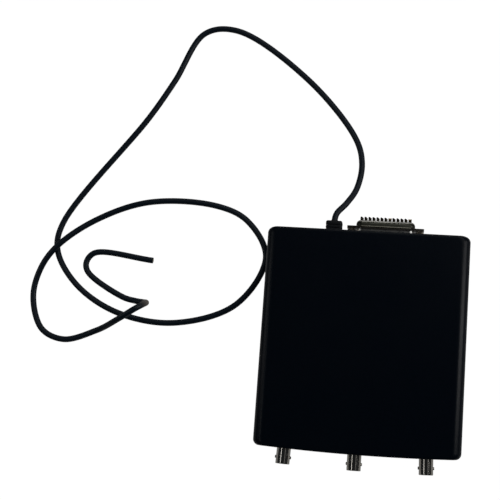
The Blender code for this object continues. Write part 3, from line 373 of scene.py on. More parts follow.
moulded_skin.links.new(grain.outputs["Fac"], result.inputs["Height"])

# Edges that hands and tables have rubbed, read from how sharply the surface turns
RUB_START = 0.505
PATCH_SCALE = 160.0
PATCH_RANGE = (0.35, 0.70)
PATCH_LEAST = 0.15
edge_rub, given, result = effect("edge_rub", {"Vector": "Vector", "Sharp": "Float"}, {"Mask": "Float"})
turning = add(edge_rub, "NewGeometry", {}).outputs["Pointiness"]
rubbed = ranged(edge_rub, turning, RUB_START, given["Sharp"])
patches = add(edge_rub, "TexNoise", {"Vector": given["Vector"], "Scale": PATCH_SCALE, "Detail": 4.0})
broken = ranged(edge_rub, patches.outputs["Fac"], *PATCH_RANGE, PATCH_LEAST, 1.0)
edge_rub.links.new(times(edge_rub, rubbed, broken), result.inputs["Mask"])


def skinned(name, skin_group, values, rub, sharp, depth, strength):
    """A material under a shared skin, with its edges rubbed to another colour if one is given."""
    made, tree, shader = plain_material(name)
    where = add(tree, "TexCoord", {}).outputs["Object"]
    surface = add(tree, "Group", {"Vector": where, **values}, node_tree=skin_group)
    colour = surface.outputs["Color"]
    if rub:
        edges = add(tree, "Group", {"Vector": where, "Sharp": sharp}, node_tree=edge_rub)
        colour = blend(tree, edges.outputs["Mask"], colour, (*rub, 1))
    bump = add(tree, "Bump", {"Height": surface.outputs["Height"], "Distance": depth, "Strength": strength})
    tree.links.new(colour, shader.inputs["Base Color"])
    tree.links.new(surface.outputs["Roughness"], shader.inputs["Roughness"])
    tree.links.new(bump.outputs["Normal"], shader.inputs["Normal"])
    return made, shader


MOULDED_SHARP = 0.56
MOULDED_BUMP = 0.6


def moulding(name, deep, pale, polished, matt, grain, depth, rub=None, specular=0.5):
    """A moulded plastic or rubber, from deep to pale and from polished to matt."""
    values = {"Grain": grain, "Deep": (*deep, 1), "Pale": (*pale, 1), "Polished": polished, "Matt": matt}
    made, shader = skinned(name, moulded_skin, values, rub, MOULDED_SHARP, depth, MOULDED_BUMP)
    shader.inputs["Specular IOR Level"].default_value = specular
    return made


case_plastic = moulding(
    "case_plastic",
    deep=(0.0004, 0.0032, 0.0082),
    pale=(0.0013, 0.0050, 0.0112),
    polished=0.28,
    matt=0.33,
    grain=2100.0,
    depth=0.00004,
    rub=(0.0050, 0.0075, 0.0120),
    specular=0.18,
)

SCREW_RECESS_RADIUS = 0.0031
SCREW_RECESS = 0.0024
SCREW_WAY_RADIUS = 0.00175
BOSS_WALL = 0.0018
BOSS_GAP = 0.0003
FOOT_POCKET_RADIUS = 0.0058
FOOT_POCKET = 0.0008
RIB_WIDTH = 0.0060
RIB_DEPTH = 0.0016
RIB_HEIGHT = 0.0025
FRONT_RIBS = (-0.02485, 0.02305)
REAR_RIBS = (-0.0520, 0.0520)
ROUND_STEPS = 40
CASE_CORNERS = (1, 2, 3, 4)

board_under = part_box("main_board")[0].z


def middle_of(node):
    """The middle of a CAD node's box, in plan."""
    low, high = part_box(node)
    return (low.x + high.x) / 2, (low.y + high.y) / 2


def block(size, middle):
    """A plain block, for cutting and joining."""
    shape = bmesh.new()
    bmesh.ops.create_cube(shape, matrix=Matrix.Translation(middle) @ Matrix.Diagonal((*size, 1)))
    return mesh_of(shape)


def screw_rods(radius, low, high):
    """Upright bars at the four case screws."""
    spots = [middle_of(f"case_screw_{number}") for number in CASE_CORNERS]
    return [rod(radius, (x, y, low), (x, y, high), ROUND_STEPS) for x, y in spots]


def panel_ribs(flat, side):
    """The four ribs of one half that stand behind the end panels, rooted in its flat wall."""
    front_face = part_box("front_panel")[1].y + BOSS_GAP
    rear_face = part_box("rear_panel")[0].y - BOSS_GAP
    spots = [(x, front_face - bowed(abs(x) + RIB_WIDTH / 2) + RIB_DEPTH / 2) for x in FRONT_RIBS]
    spots += [(x, rear_face - RIB_DEPTH / 2) for x in REAR_RIBS]
    root = flat - side * WALL / 2
    tip = flat - side * (WALL + RIB_HEIGHT)
    size = (RIB_WIDTH, RIB_DEPTH, abs(root - tip))
    return [block(size, (x, y, (root + tip) / 2)) for x, y in spots]


lower_half = half_case(under_high.z, under_low.z)
seats = screw_rods(SCREW_RECESS_RADIUS + BOSS_WALL, under_low.z + WALL / 2, board_under - BOSS_GAP)
lower_half = carve(lower_half, together(seats + panel_ribs(under_low.z, -1)), "UNION")
below = under_low.z - CUT_MARGIN
lower_half = carve(lower_half, together(screw_rods(SCREW_WAY_RADIUS, below, board_under + CUT_MARGIN)))
cuts = screw_rods(SCREW_RECESS_RADIUS, below, under_low.z + SCREW_RECESS)
for number in CASE_CORNERS:
    x, y = middle_of(f"foot_{number}")
    cuts.append(rod(FOOT_POCKET_RADIUS, (x, y, below), (x, y, under_low.z + FOOT_POCKET), ROUND_STEPS))
lower_half = carve(lower_half, together(cuts))
place("lower_case_half", lower_half, case_plastic, "bottom_shell")


# Feet: four discs punched from black rubber, dished underneath and glued into shallow pockets.
# They keep the case 1.5 mm off the table.

FOOT_EDGE = 0.0005
FOOT_DISH = 0.0035
FOOT_DISH_DEPTH = 0.0003
PROFILE_STEPS = 3


def turned(profile, sides):
    """A mesh turned about its own Z from an outline of radius and height, which may touch the axis."""
    shape = bmesh.new()
    corners = [shape.verts.new((radius, 0, height)) for radius, height in profile]
    for first, second in zip(corners, corners[1:] + corners[:1]):
        if first.co.x > SAME_POINT or second.co.x > SAME_POINT:
            shape.edges.new((first, second))
    bmesh.ops.spin(
        shape,
        geom=shape.verts[:] + shape.edges[:],
        axis=(0, 0, 1),
        cent=(0, 0, 0),
        steps=sides,
        angle=2 * math.pi,
        use_merge=True,
    )
    return mesh_of(shape)


def lathed(corners, radii, sides):
    """A mesh turned from an outline after its corners are rounded."""
    return turned(eased(corners, radii, PROFILE_STEPS), sides)


def moved(mesh, matrix):
    """The mesh moved by a matrix."""
    mesh.transform(matrix)
    return mesh


foot_rubber = moulding(
    "foot_rubber",
    deep=(0.010, 0.010, 0.011),
    pale=(0.026, 0.025, 0.024),
    polished=0.70,
    matt=0.92,
    grain=1300.0,
    depth=0.00008,
    rub=(0.045, 0.043, 0.041),
    specular=0.3,
)
for number in CASE_CORNERS:
    low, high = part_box(f"foot_{number}")
    radius = (high.x - low.x) / 2
    corners = [
        (0, high.z),
        (0, FOOT_DISH_DEPTH),
        (FOOT_DISH, FOOT_DISH_DEPTH),
        (FOOT_DISH + FOOT_DISH_DEPTH, 0),
        (radius, 0),
        (radius, high.z),
    ]
    radii = [0.0, 0.0, FOOT_EDGE / 2, FOOT_EDGE / 2, FOOT_EDGE, FOOT_EDGE / 4]
    spot = Matrix.Translation((*middle_of(f"foot_{number}"), 0))
    foot = moved(lathed(corners, radii, ROUND_STEPS), spot)
    place(f"rubber_foot_{number}", foot, foot_rubber, f"foot_{number}")


# Main board: glass-fibre laminate under green solder mask, with tinned pads and copper tracks showing
# through. It lies on the lower half's bosses and the case screws pass through it.

MASK_GREEN = (0.006, 0.060, 0.024, 1)
TRACK_GREEN = (0.014, 0.105, 0.042, 1)
PAD_TIN = (0.62, 0.61, 0.57, 1)
TRACK_SCALE = 260.0
TRACK_EDGE = (0.06, 0.09)
TRACK_RISE = 0.00004
PAD_SCALE = 330.0
PAD_EDGE = (0.16, 0.20)
WEAVE_SCALE = 900.0
WEAVE_RANGE = (0.3, 0.7)
MASK_GLOSS = (0.30, 0.45)

board_finish, tree, shader = plain_material("solder_mask_board")
where = add(tree, "TexCoord", {}).outputs["Object"]
tracks = add(tree, "TexVoronoi", {"Vector": where, "Scale": TRACK_SCALE}, feature="DISTANCE_TO_EDGE")
pads = add(tree, "TexVoronoi", {"Vector": where, "Scale": PAD_SCALE, "Randomness": 0.25})
weave = add(tree, "TexNoise", {"Vector": where, "Scale": WEAVE_SCALE, "Detail": 2.0})
track = ranged(tree, tracks.outputs["Distance"], *TRACK_EDGE, 1.0, 0.0)
pad = ranged(tree, pads.outputs["Distance"], *PAD_EDGE, 1.0, 0.0)
masked = blend(tree, track, MASK_GREEN, TRACK_GREEN)
tree.links.new(blend(tree, pad, masked, PAD_TIN), shader.inputs["Base Color"])
gloss = ranged(tree, weave.outputs["Fac"], *WEAVE_RANGE, *MASK_GLOSS)
tree.links.new(gloss, shader.inputs["Roughness"])
tree.links.new(pad, shader.inputs["Metallic"])
raised = add(tree, "Bump", {"Height": track, "Distance": TRACK_RISE, "Strength": 0.5})
tree.links.new(raised.outputs["Normal"], shader.inputs["Normal"])


def dress(node, finish):
    """A CAD node that keeps its own shape and takes a better finish."""
    for slot in frame["nodes"][node].material_slots:
        slot.material = finish


dress("main_board", board_finish)


# Electronics on the board: epoxy chip packages, a ferrite choke, a clock in a tinned can, and a folded
# tinplate shield over the inputs. They are soldered down and can't be seen with the case shut.

chip_epoxy = moulding(
    "chip_epoxy",
    deep=(0.012, 0.012, 0.013),
    pale=(0.024, 0.024, 0.025),
    polished=0.38,
    matt=0.55,
    grain=5200.0,
    depth=0.00003,
    rub=(0.04, 0.04, 0.04),
)
for chip in ("converter_chip_1", "converter_chip_2", "logic_chip", "memory_chip", "usb_chip"):
    dress(chip, chip_epoxy)
dress("power_choke", chip_epoxy)

# The metal skin that plated and rolled pieces share: fine lines along one direction, and tarnish
CLOUD_SCALE = 260.0
CLOUD_RANGE = (0.42, 0.68)
LINE_RANGE = (0.30, 0.70)
LINE_GLOSS = (0.85, 1.2)
metal_skin, given, result = effect(
    "metal_skin",
    {
        "Vector": "Vector",
        "Stretch": "Vector",
        "Bright": "Color",
        "Tarnish": "Color",
        "Smooth": "Float",
        "Dull": "Float",
    },
    {"Color": "Color", "Roughness": "Float", "Height": "Float"},
)
drawn = add(metal_skin, "VectorMath", {0: given["Vector"], 1: given["Stretch"]}, operation="MULTIPLY")
lines = add(metal_skin, "TexNoise", {"Vector": drawn.outputs[0], "Scale": 1.0, "Detail": 3.0})
clouds = add(
    metal_skin,
    "TexNoise",
    {"Vector": given["Vector"], "Scale": CLOUD_SCALE, "Detail": 5.0, "Roughness": 0.65, "Distortion": 0.6},
)
aged = ranged(metal_skin, clouds.outputs["Fac"], *CLOUD_RANGE)
scored = ranged(metal_skin, lines.outputs["Fac"], *LINE_RANGE)
metal_skin.links.new(blend(metal_skin, aged, given["Bright"], given["Tarnish"]), result.inputs["Color"])
worn_gloss = between(metal_skin, aged, given["Smooth"], given["Dull"])
lined = between(metal_skin, scored, *LINE_GLOSS)
metal_skin.links.new(times(metal_skin, worn_gloss, lined), result.inputs["Roughness"])
metal_skin.links.new(lines.outputs["Fac"], result.inputs["Height"])

METAL_SHARP = 0.60
METAL_BUMP = 0.35


def metal(name, bright, tarnish, smooth, dull, stretch, depth, rub=None):
    """A plated, rolled or turned metal, from bright to tarnished and from smooth to dull."""
    values = {
        "Stretch": stretch,
        "Bright": (*bright, 1),
        "Tarnish": (*tarnish, 1),
        "Smooth": smooth,
        "Dull": dull,
    }
    made, shader = skinned(name, metal_skin, values, rub, METAL_SHARP, depth, METAL_BUMP)
    shader.inputs["Metallic"].default_value = 1.0
    return made


tin_plate = metal(
    "tin_plate",
    bright=(0.60, 0.59, 0.55),
    tarnish=(0.44, 0.42, 0.36),
    smooth=0.26,
    dull=0.42,
    stretch=(120.0, 4200.0, 4200.0),
    depth=0.00002,
    rub=(0.70, 0.69, 0.66),
)
for can in ("input_shield", "clock_can"):
    dress(can, tin_plate)


# Bayonet sockets: turned brass barrels, plated with nickel, with two lugs for a probe's collar. A nut
# pulls each one's shoulder against the front panel, and a moulded housing carries it on the board.

RIM_RADIUS = 0.0042
BARREL_RADIUS = 0.0048
BARREL_BORE = 0.00405
BARREL_BORE_DEPTH = 0.0090
BARREL_EDGE = 0.0005
BARREL_ROW = 0.0008
THREAD_RADIUS = 0.0046
THREAD_ROOT = 0.0044
THREAD_PITCH = 0.0005
THREAD_TURNS = 9
SHOULDER_RADIUS = 0.0060
SHOULDER_TOP = 0.0157
SHOULDER_LOW = 0.0169
SLEEVE_LOW = 0.0219
SLEEVE_BORE = 0.00275
LUG_RADIUS = 0.0010
LUG_SPAN = 0.0110
LUG_SETBACK = 0.0045
LUG_EDGE = 0.0003
THREAD_TOP = 0.0109
CHAMFER = math.radians(30)
BARREL_SIDES = 72
SMALL_SIDES = 32
SOCKETS = (1, 2, 3)

nickel_plate = metal(
    "nickel_plate",
    bright=(0.68, 0.66, 0.61),
    tarnish=(0.60, 0.57, 0.51),
    smooth=0.08,
    dull=0.10,
    stretch=(90.0, 5200.0, 90.0),
    depth=0.0000006,
    rub=(0.60, 0.52, 0.38),
)
black_moulding = moulding(
    "black_moulding",
    deep=(0.010, 0.010, 0.011),
    pale=(0.020, 0.020, 0.021),
    polished=0.34,
    matt=0.50,
    grain=3600.0,
    depth=0.00003,
)
white_moulding = moulding(
    "white_moulding",
    deep=(0.70, 0.69, 0.64),
    pale=(0.84, 0.83, 0.79),
    polished=0.34,
    matt=0.48,
    grain=2600.0,
    depth=0.00003,
)
gold_plate = metal(
    "gold_plate",
    bright=(0.86, 0.62, 0.27),
    tarnish=(0.62, 0.42, 0.17),
    smooth=0.18,
    dull=0.36,
    stretch=(4200.0, 160.0, 4200.0),
    depth=0.00001,
)


def hexagon(flats):
    """A hexagon with two of its flats level, by the distance over them."""
    return [
        (flats / math.sqrt(3) * math.cos(turn), flats / math.sqrt(3) * math.sin(turn))
        for turn in (math.pi / 3 * step for step in range(6))
    ]


def hex_piece(flats, low, high, bore, bore_low, ease):
    """A hexagonal bar along Z with chamfered ends and a round bore from its top."""
    bar = skin([[(x, y, z) for x, y in hexagon(flats)] for z in (low - ease, high + ease)])
    corner = flats / math.sqrt(3) + ease
    flat = flats / 2 - ease / 2
    drop = (corner - flat) * math.tan(CHAMFER)
    profile = [(corner, high - drop), (flat, high), (bore + ease, high), (bore, high - ease)]
    if bore_low > low:
        profile += [(bore, bore_low), (0, bore_low), (0, low)]
    else:
        profile.append((bore, low))
    profile += [(flat, low), (corner, low + drop)]
    return carve(bar, turned(profile, BARREL_SIDES), "INTERSECT")


def socket_barrel():
    """A barrel with its rim at height 0 and its body below, threads cut under the bayonet part."""
    corners = [
        (BARREL_BORE, 0.0),
        (BARREL_BORE, -BARREL_BORE_DEPTH),
        (SLEEVE_BORE, -BARREL_BORE_DEPTH),
        (SLEEVE_BORE, -SLEEVE_LOW),
        (THREAD_RADIUS, -SLEEVE_LOW),
        (THREAD_RADIUS, -SHOULDER_LOW),
        (SHOULDER_RADIUS, -SHOULDER_LOW),
        (SHOULDER_RADIUS, -SHOULDER_TOP),
        (THREAD_ROOT, -SHOULDER_TOP),
    ]
    for turn in range(THREAD_TURNS, 0, -1):
        crest = -THREAD_TOP - THREAD_PITCH * (turn - 0.5)
        corners += [(THREAD_RADIUS, crest), (THREAD_ROOT, crest + THREAD_PITCH / 2)]
    side_low = -THREAD_TOP + BARREL_EDGE / 2
    rows = math.ceil(-side_low / BARREL_ROW)
    corners += [(BARREL_RADIUS, side_low * (1 - row / rows)) for row in range(rows + 1)]
    radii = [0.0] * len(corners)
    radii[0] = BARREL_EDGE / 2
    radii[-1] = BARREL_EDGE
    barrel = lathed(corners, radii, BARREL_SIDES)
    root = (BARREL_RADIUS + BARREL_BORE) / 2
    tip = LUG_SPAN / 2
    lug_line = [(0, root), (LUG_RADIUS, root), (LUG_RADIUS, tip), (0, tip)]
    setback = Matrix.Translation((0, 0, -LUG_SETBACK))
    lugs = []
    for side in (-1, 1):
        lug = lathed(lug_line, [0.0, 0.0, LUG_EDGE, 0.0], SMALL_SIDES)
        lugs.append(moved(lug, setback @ Matrix.Rotation(side * math.pi / 2, 4, "Y")))
    return carve(barrel, together(lugs), "UNION")


DIELECTRIC_RADIUS = 0.00245
DIELECTRIC_FRONT = 0.0025
DISC_RADIUS = 0.00375
DISC_HIGH = 0.0074
DISC_LOW = 0.0087
CORE_HOLE = 0.0013
CONTACT_RADIUS = 0.0010
CONTACT_BORE = 0.0006
CONTACT_FRONT = 0.0030
CONTACT_BORE_DEPTH = 0.0040
CONTACT_BACK = 0.0234
CONTACT_SLOT = 0.00022
CONTACT_SLOT_DEPTH = 0.0026
MOULDED_EDGE = 0.0002
NUT_FLATS = 0.0130
NUT_HIGH = 0.0116
NUT_LOW = 0.0136
NUT_BORE = 0.0049
NUT_EASE = 0.0003


def socket_dielectric():
    """The white insulator: a sleeve round the contact, with a disc that centres it in the barrel."""
    corners = [
        (CORE_HOLE, -DIELECTRIC_FRONT),
        (CORE_HOLE, -SLEEVE_LOW),
        (DIELECTRIC_RADIUS, -SLEEVE_LOW),
        (DIELECTRIC_RADIUS, -DISC_LOW),
        (DISC_RADIUS, -DISC_LOW),
        (DISC_RADIUS, -DISC_HIGH),
        (DIELECTRIC_RADIUS, -DISC_HIGH),
        (DIELECTRIC_RADIUS, -DIELECTRIC_FRONT),
    ]
    return lathed(corners, MOULDED_EDGE, SMALL_SIDES)


def socket_contact():
    """The gold centre contact: a tube slit four ways at its mouth, so that it grips the pin."""
    corners = [
        (0, -CONTACT_FRONT - CONTACT_BORE_DEPTH),
        (0, -CONTACT_BACK),
        (CONTACT_RADIUS, -CONTACT_BACK),
        (CONTACT_RADIUS, -CONTACT_FRONT),
        (CONTACT_BORE, -CONTACT_FRONT),
        (CONTACT_BORE, -CONTACT_FRONT - CONTACT_BORE_DEPTH),
    ]
    radii = [0.0, 0.0, MOULDED_EDGE, MOULDED_EDGE / 2, MOULDED_EDGE / 2, 0.0]
    contact = lathed(corners, radii, SMALL_SIDES)
    length = 2 * CONTACT_SLOT_DEPTH
    middle = (0, 0, -CONTACT_FRONT)
    contact = carve(contact, block((4 * CONTACT_RADIUS, CONTACT_SLOT, length), middle))
    return carve(contact, block((CONTACT_SLOT, 4 * CONTACT_RADIUS, length), middle))


mounts = {mount["name"]: mount for mount in frame["record"]["mounts"]}
for number in SOCKETS:
    face = mounts[f"socket_face_{number}"]
    outward = Vector(face["axis"])
    level = Vector((0, 0, 1)).cross(outward)
    stand = Matrix((level, (0, 0, 1), outward)).transposed().to_4x4()
    stand.translation = Vector(face["pos_m"]) - Vector((0, 0, RIM_RADIUS))
    barrel = moved(socket_barrel(), stand)
    place(f"nickel_barrel_{number}", barrel, nickel_plate, f"socket_barrel_{number}")
    nut = moved(hex_piece(NUT_FLATS, -NUT_LOW, -NUT_HIGH, NUT_BORE, -NUT_LOW, NUT_EASE), stand)
    place(f"panel_nut_{number}", nut, nickel_plate, f"socket_nut_{number}")
    sleeve = moved(socket_dielectric(), stand)
    place(f"white_sleeve_{number}", sleeve, white_moulding, f"socket_dielectric_{number}")
    contact = moved(socket_contact(), stand)
    place(f"centre_contact_{number}", contact, gold_plate, f"socket_contact_{number}")
    dress(f"socket_housing_{number}", black_moulding)


# Port: a 25-way connector with a drawn tinned shell, its flange behind the rear panel. Two turned brass
# posts, thinly plated, clamp it to the panel and take the plug's screws.

PORT_X = 0.0115
PORT_Z = 0.01375
D_WIDTH = 0.0384
D_DEPTH = 0.0079
D_TAPER = math.radians(10)
D_RADIUS = 0.0024
D_STEPS = 10
SHELL_WALL = 0.00045
SHELL_EDGE = 0.0002
ROOT_RADIUS = 0.00045
ROOT_SPREAD = 0.0010
ROOT_DIP = 0.0001
ROLL_SWEEP = math.radians(65)
ROLL_STEPS = 8
FLANGE_WIDTH = 0.05304
FLANGE_DEPTH = 0.01255
FLANGE_THICKNESS = 0.0005
FLANGE_RADIUS = 0.0012
FLANGE_HOLE = 0.00155
HOLE_SPACING = 0.04704

shell_steel = metal(
    "shell_steel",
    bright=(0.52, 0.52, 0.51),
    tarnish=(0.40, 0.39, 0.37),
    smooth=0.26,
    dull=0.36,
    stretch=(150.0, 3800.0, 3800.0),
    depth=0.000006,
    rub=(0.62, 0.61, 0.58),
)
post_brass = metal(
    "post_brass",
    bright=(0.64, 0.57, 0.50),
    tarnish=(0.46, 0.39, 0.31),
    smooth=0.24,
    dull=0.40,
    stretch=(120.0, 5200.0, 120.0),
    depth=0.000012,
    rub=(0.66, 0.52, 0.32),
)


def d_outline(grow):
    """The tapered outline of the 25-way shells, wide side up, moved out by a distance all round."""
    slant = grow / math.cos(D_TAPER)
    top = D_WIDTH / 2 + slant + grow * math.tan(D_TAPER)
    bottom = D_WIDTH / 2 - D_DEPTH * math.tan(D_TAPER) + slant - grow * math.tan(D_TAPER)
    half = D_DEPTH / 2 + grow
    corners = [(-bottom, -half), (bottom, -half), (top, half), (-top, half)]
    return eased(corners, D_RADIUS + grow, D_STEPS)


def at_port(outline, y):
    """An outline set upright on the port's axis, at a distance along the instrument."""
    return [(PORT_X + across, y, PORT_Z + up) for across, up in outline]


def port_bar(outline, low, high):
    """A bar of one outline on the port's axis, between two distances along the instrument."""
    return skin([at_port(outline, low), at_port(outline, high)])


def upright_plate(outlines, low, high):
    """A plate on the port's axis between two distances: its outline, then the holes cut through it."""
    reach = CUT_MARGIN / 2
    holes = [port_bar(hole, low - reach, high + reach) for hole in outlines[1:]]
    return carve(port_bar(outlines[0], low, high), together(holes))


def circle(radius, across=0.0, up=0.0):
    """A round outline about a point."""
    return [
        (across + radius * math.cos(turn), up + radius * math.sin(turn))
        for turn in (2 * math.pi * step / SMALL_SIDES for step in range(SMALL_SIDES))
    ]


def rolled(start, radius, bend, ahead):
    """A rim that turns in on an arc, as distances from the outline and along the instrument."""
    arc = []
    for step in range(ROLL_STEPS + 1):
        turn = ROLL_SWEEP * step / ROLL_STEPS
        arc.append((start - radius * (1 - math.cos(turn)), bend + ahead * radius * math.sin(turn)))
    return arc


def drawn_shell(grow, flange_face, tip, roll=0.0):
    """A shell drawn from sheet: a tapered tube on a flange with two holes, its rim plain or rolled in."""
    ahead = 1 if tip > flange_face else -1
    inside = grow - SHELL_WALL
    root = flange_face - ahead * FLANGE_THICKNESS / 2
    if roll:
        bend = tip - ahead * roll * math.sin(ROLL_SWEEP)
        rim = rolled(inside, roll - SHELL_WALL, bend, ahead)
        rim += reversed(rolled(grow, roll, bend, ahead))
        rim_radii = [0.0] * len(rim)
    else:
        rim = [(inside, tip), (grow, tip)]
        rim_radii = [SHELL_EDGE, SHELL_EDGE]
    section = [(inside, root), *rim]
    radii = [0.0, *rim_radii]
    spread_to = grow + ROOT_SPREAD
    section += [(grow, flange_face), (spread_to, flange_face - ahead * ROOT_DIP), (spread_to, root)]
    radii += [ROOT_RADIUS, 0.0, 0.0]
    path = eased(section, radii, PROFILE_STEPS + 1)
    tube = skin([at_port(d_outline(distance), y) for distance, y in path], ring=True)
    half = HOLE_SPACING / 2
    outlines = [
        eased(rectangle(FLANGE_WIDTH, FLANGE_DEPTH), FLANGE_RADIUS, D_STEPS),
        d_outline(grow - SHELL_WALL / 2),
        circle(FLANGE_HOLE, -half),
        circle(FLANGE_HOLE, half),
    ]
    faces = sorted((flange_face, flange_face - ahead * FLANGE_THICKNESS))
    return carve(upright_plate(outlines, *faces), tube, "UNION")


port_low, port_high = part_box("port_shell")
port_shell = drawn_shell(0.0, port_low.y + FLANGE_THICKNESS, port_high.y)
place("port_drawn_shell", port_shell, shell_steel, "port_shell")
dress("port_insulator", black_moulding)
dress("port_contacts", tin_plate)

POST_FLATS = 0.0050
POST_HEIGHT = 0.0054
POST_BORE = 0.0013
POST_BORE_DEPTH = 0.0038
POST_EASE = 0.00025
STUD_RADIUS = 0.00125
TO_REAR = Matrix.Rotation(-math.pi / 2, 4, "X")
for side in ("left", "right"):
    low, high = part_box(f"jack_post_{side}")
    x = (low.x + high.x) / 2
    foot = high.y - POST_HEIGHT
    post = hex_piece(POST_FLATS, foot, high.y, POST_BORE, high.y - POST_BORE_DEPTH, POST_EASE)
    stud = rod(STUD_RADIUS, (0, 0, low.y), (0, 0, foot + POST_EASE), SMALL_SIDES)
    post = carve(post, stud, "UNION")
    stand = Matrix.Translation((x, 0, PORT_Z)) @ TO_REAR
    place(f"brass_post_{side}", moved(post, stand), post_brass, f"jack_post_{side}")


# Strain relief: soft PVC moulded over the lead, with two grooves that let it flex. Its collar sits
# behind the rear panel, and its neck passes through the panel's slot.

RELIEF_WIDTH = 0.0115
RELIEF_DEPTH = 0.0094
RELIEF_RADIUS = 0.0018
RELIEF_NECK = -0.0010
RELIEF_COLLAR = 0.0008
COLLAR_DEPTH = 0.0020
NECK_GAP = 0.0003
GROOVE_PITCH = 0.0021
GROOVE_WIDTH = 0.0009
GROOVE_DEPTH = 0.0005
GROOVE_EDGE = 0.00018
RELIEF_NOSE = 0.0012
CUFF_RADIUS = 0.00265
CUFF_REACH = 0.0007

relief_pvc = moulding(
    "relief_pvc",
    deep=(0.0036, 0.0056, 0.0086),
    pale=(0.0078, 0.0102, 0.0132),
    polished=0.38,
    matt=0.50,
    grain=1700.0,
    depth=0.00003,
    specular=0.26,
)

relief_low, relief_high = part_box("strain_relief")
relief_x = (relief_low.x + relief_high.x) / 2
relief_z = (relief_low.z + relief_high.z) / 2
relief_end = relief_high.y
neck_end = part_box("rear_panel")[1].y + NECK_GAP


def relief_row(grow, y):
    """One cross-section of the strain relief, drawn in or out all round."""
    face = rectangle(RELIEF_WIDTH + 2 * grow, RELIEF_DEPTH + 2 * grow, relief_x, relief_z)
    return [(x, y, z) for x, z in eased(face, max(RELIEF_RADIUS + grow, RELIEF_RADIUS / 2), CORNER_STEPS)]


side_line = [
    (RELIEF_COLLAR, relief_low.y),
    (RELIEF_COLLAR, relief_low.y + COLLAR_DEPTH),
    (RELIEF_NECK, relief_low.y + COLLAR_DEPTH),
    (RELIEF_NECK, neck_end),
    (0.0, neck_end),
]
for groove in (1, 2):
    middle = rear_edge + GROOVE_PITCH * groove
    for step, grow in ((-1, 0.0), (-1, -GROOVE_DEPTH), (1, -GROOVE_DEPTH), (1, 0.0)):
        side_line.append((grow, middle + step * GROOVE_WIDTH / 2))
side_line += [(0.0, relief_end), (-RELIEF_DEPTH / 3, relief_end), (-RELIEF_DEPTH / 3, relief_low.y)]
radii = [GROOVE_EDGE] * len(side_line)
radii[-3:] = [RELIEF_NOSE, 0.0, 0.0]
side_line = eased(side_line, radii, PROFILE_STEPS + 2)[:-2]
relief = skin([relief_row(grow, y) for grow, y in side_line])
cuff_line = [(0, -RELIEF_NOSE), (CUFF_RADIUS, -RELIEF_NOSE), (CUFF_RADIUS, CUFF_REACH), (0, CUFF_REACH)]
cuff = lathed(cuff_line, [0.0, 0.0, GROOVE_EDGE, 0.0], SMALL_SIDES)
stand = Matrix.Translation((relief_x, relief_end, relief_z)) @ TO_REAR
relief = carve(relief, moved(cuff, stand), "UNION")
place("moulded_strain_relief", relief, relief_pvc, "strain_relief")


# Lead: a limp round PVC cable, 4.3 mm thick, that lies in loose loops on the table. At one upright fold
# a pale patch is painted on its sheath as a highlight. Inside the case it ends in a white header, and at
# its free end in a clean cut that shows its four coloured cores.

LEAD_DIAMETER = 0.0043
LEAD_GAP = 0.0001
LEAD_START_GAP = 0.0003
LEAD_STEPS = 14
LEAD_SIDES = 8
# A painted highlight on the sheath round the fold's tip: where it sits, its pale colour, and how far it
# fades.
FOLD_TIP = (-0.1540, 0.0175, 0.0130)
FOLD_HIGHLIGHT = (0.20, 0.174, 0.155, 1)
FOLD_START = 0.0025
FOLD_FADE = 0.0090
LEAD_ROUTE = (
    (-0.0240, 0.0864, 0.0105),
    (-0.0228, 0.0897, 0.0098),
    (-0.0168, 0.0974, 0.0068),
    (-0.0104, 0.1096, 0.0021),
    (-0.0079, 0.1281, 0.0),
    (-0.0133, 0.1463, 0.0),
    (-0.0509, 0.1896, 0.0),
    (-0.1055, 0.2251, 0.0),
    (-0.1299, 0.2222, 0.0),
    (-0.1494, 0.1847, 0.0),
    (-0.1662, 0.1560, 0.0),
    (-0.2235, 0.0733, 0.0),
    (-0.2253, 0.0531, 0.0),
    (-0.2089, 0.0290, 0.0),
    (-0.1770, 0.0105, 0.0),
    (-0.1344, 0.0056, 0.0),
    (-0.0909, 0.0216, 0.0),
    (-0.0722, 0.0565, 0.0),
    (-0.0873, 0.0821, 0.0),
    (-0.1108, 0.0921, 0.0),
    (-0.1603, 0.0923, 0.0),
    (-0.1976, 0.0775, 0.0010),
    (-0.2239, 0.0561, 0.0051),
    (-0.2358, 0.0394, 0.0020),
    (-0.2400, 0.0185, 0.0),
    (-0.2312, -0.0047, 0.0),
    (-0.2141, -0.0113, 0.0),
    (-0.1902, -0.0035, 0.0017),
    (-0.1718, 0.0045, 0.0152),
    (-0.1599, 0.0119, 0.0190),
    (-0.1553, 0.0156, 0.0154),
    (-0.1544, 0.0179, 0.0082),
    (-0.1575, 0.0187, 0.0031),
    (-0.1641, 0.0196, 0.0003),
    (-0.1738, 0.0219, 0.0),
    (-0.2010, 0.0385, 0.0),
    (-0.2029, 0.0458, 0.0),
    (-0.1973, 0.0528, 0.0),
    (-0.1539, 0.0496, 0.0),
)

lead_pvc = moulding(
    "lead_pvc",
    deep=(0.0035, 0.0105, 0.0205),
    pale=(0.0080, 0.0175, 0.0300),
    polished=0.36,
    matt=0.46,
    grain=900.0,
    depth=0.000012,
    specular=0.30,
)
tree = lead_pvc.node_tree
shader = tree.nodes["Principled BSDF"]
where = add(tree, "TexCoord", {}).outputs["Object"]
# Painted highlight: the sheath's colour turns pale near the fold's tip and fades with distance.
away = add(tree, "VectorMath", {0: where, 1: FOLD_TIP}, operation="DISTANCE").outputs["Value"]
fold_highlight = ranged(tree, away, FOLD_START, FOLD_FADE, 1.0, 0.0)
sheath = shader.inputs["Base Color"].links[0].from_socket
tree.links.new(blend(tree, fold_highlight, sheath, FOLD_HIGHLIGHT), shader.inputs["Base Color"])
dress("lead_tail", lead_pvc)
dress("lead_header", white_moulding)


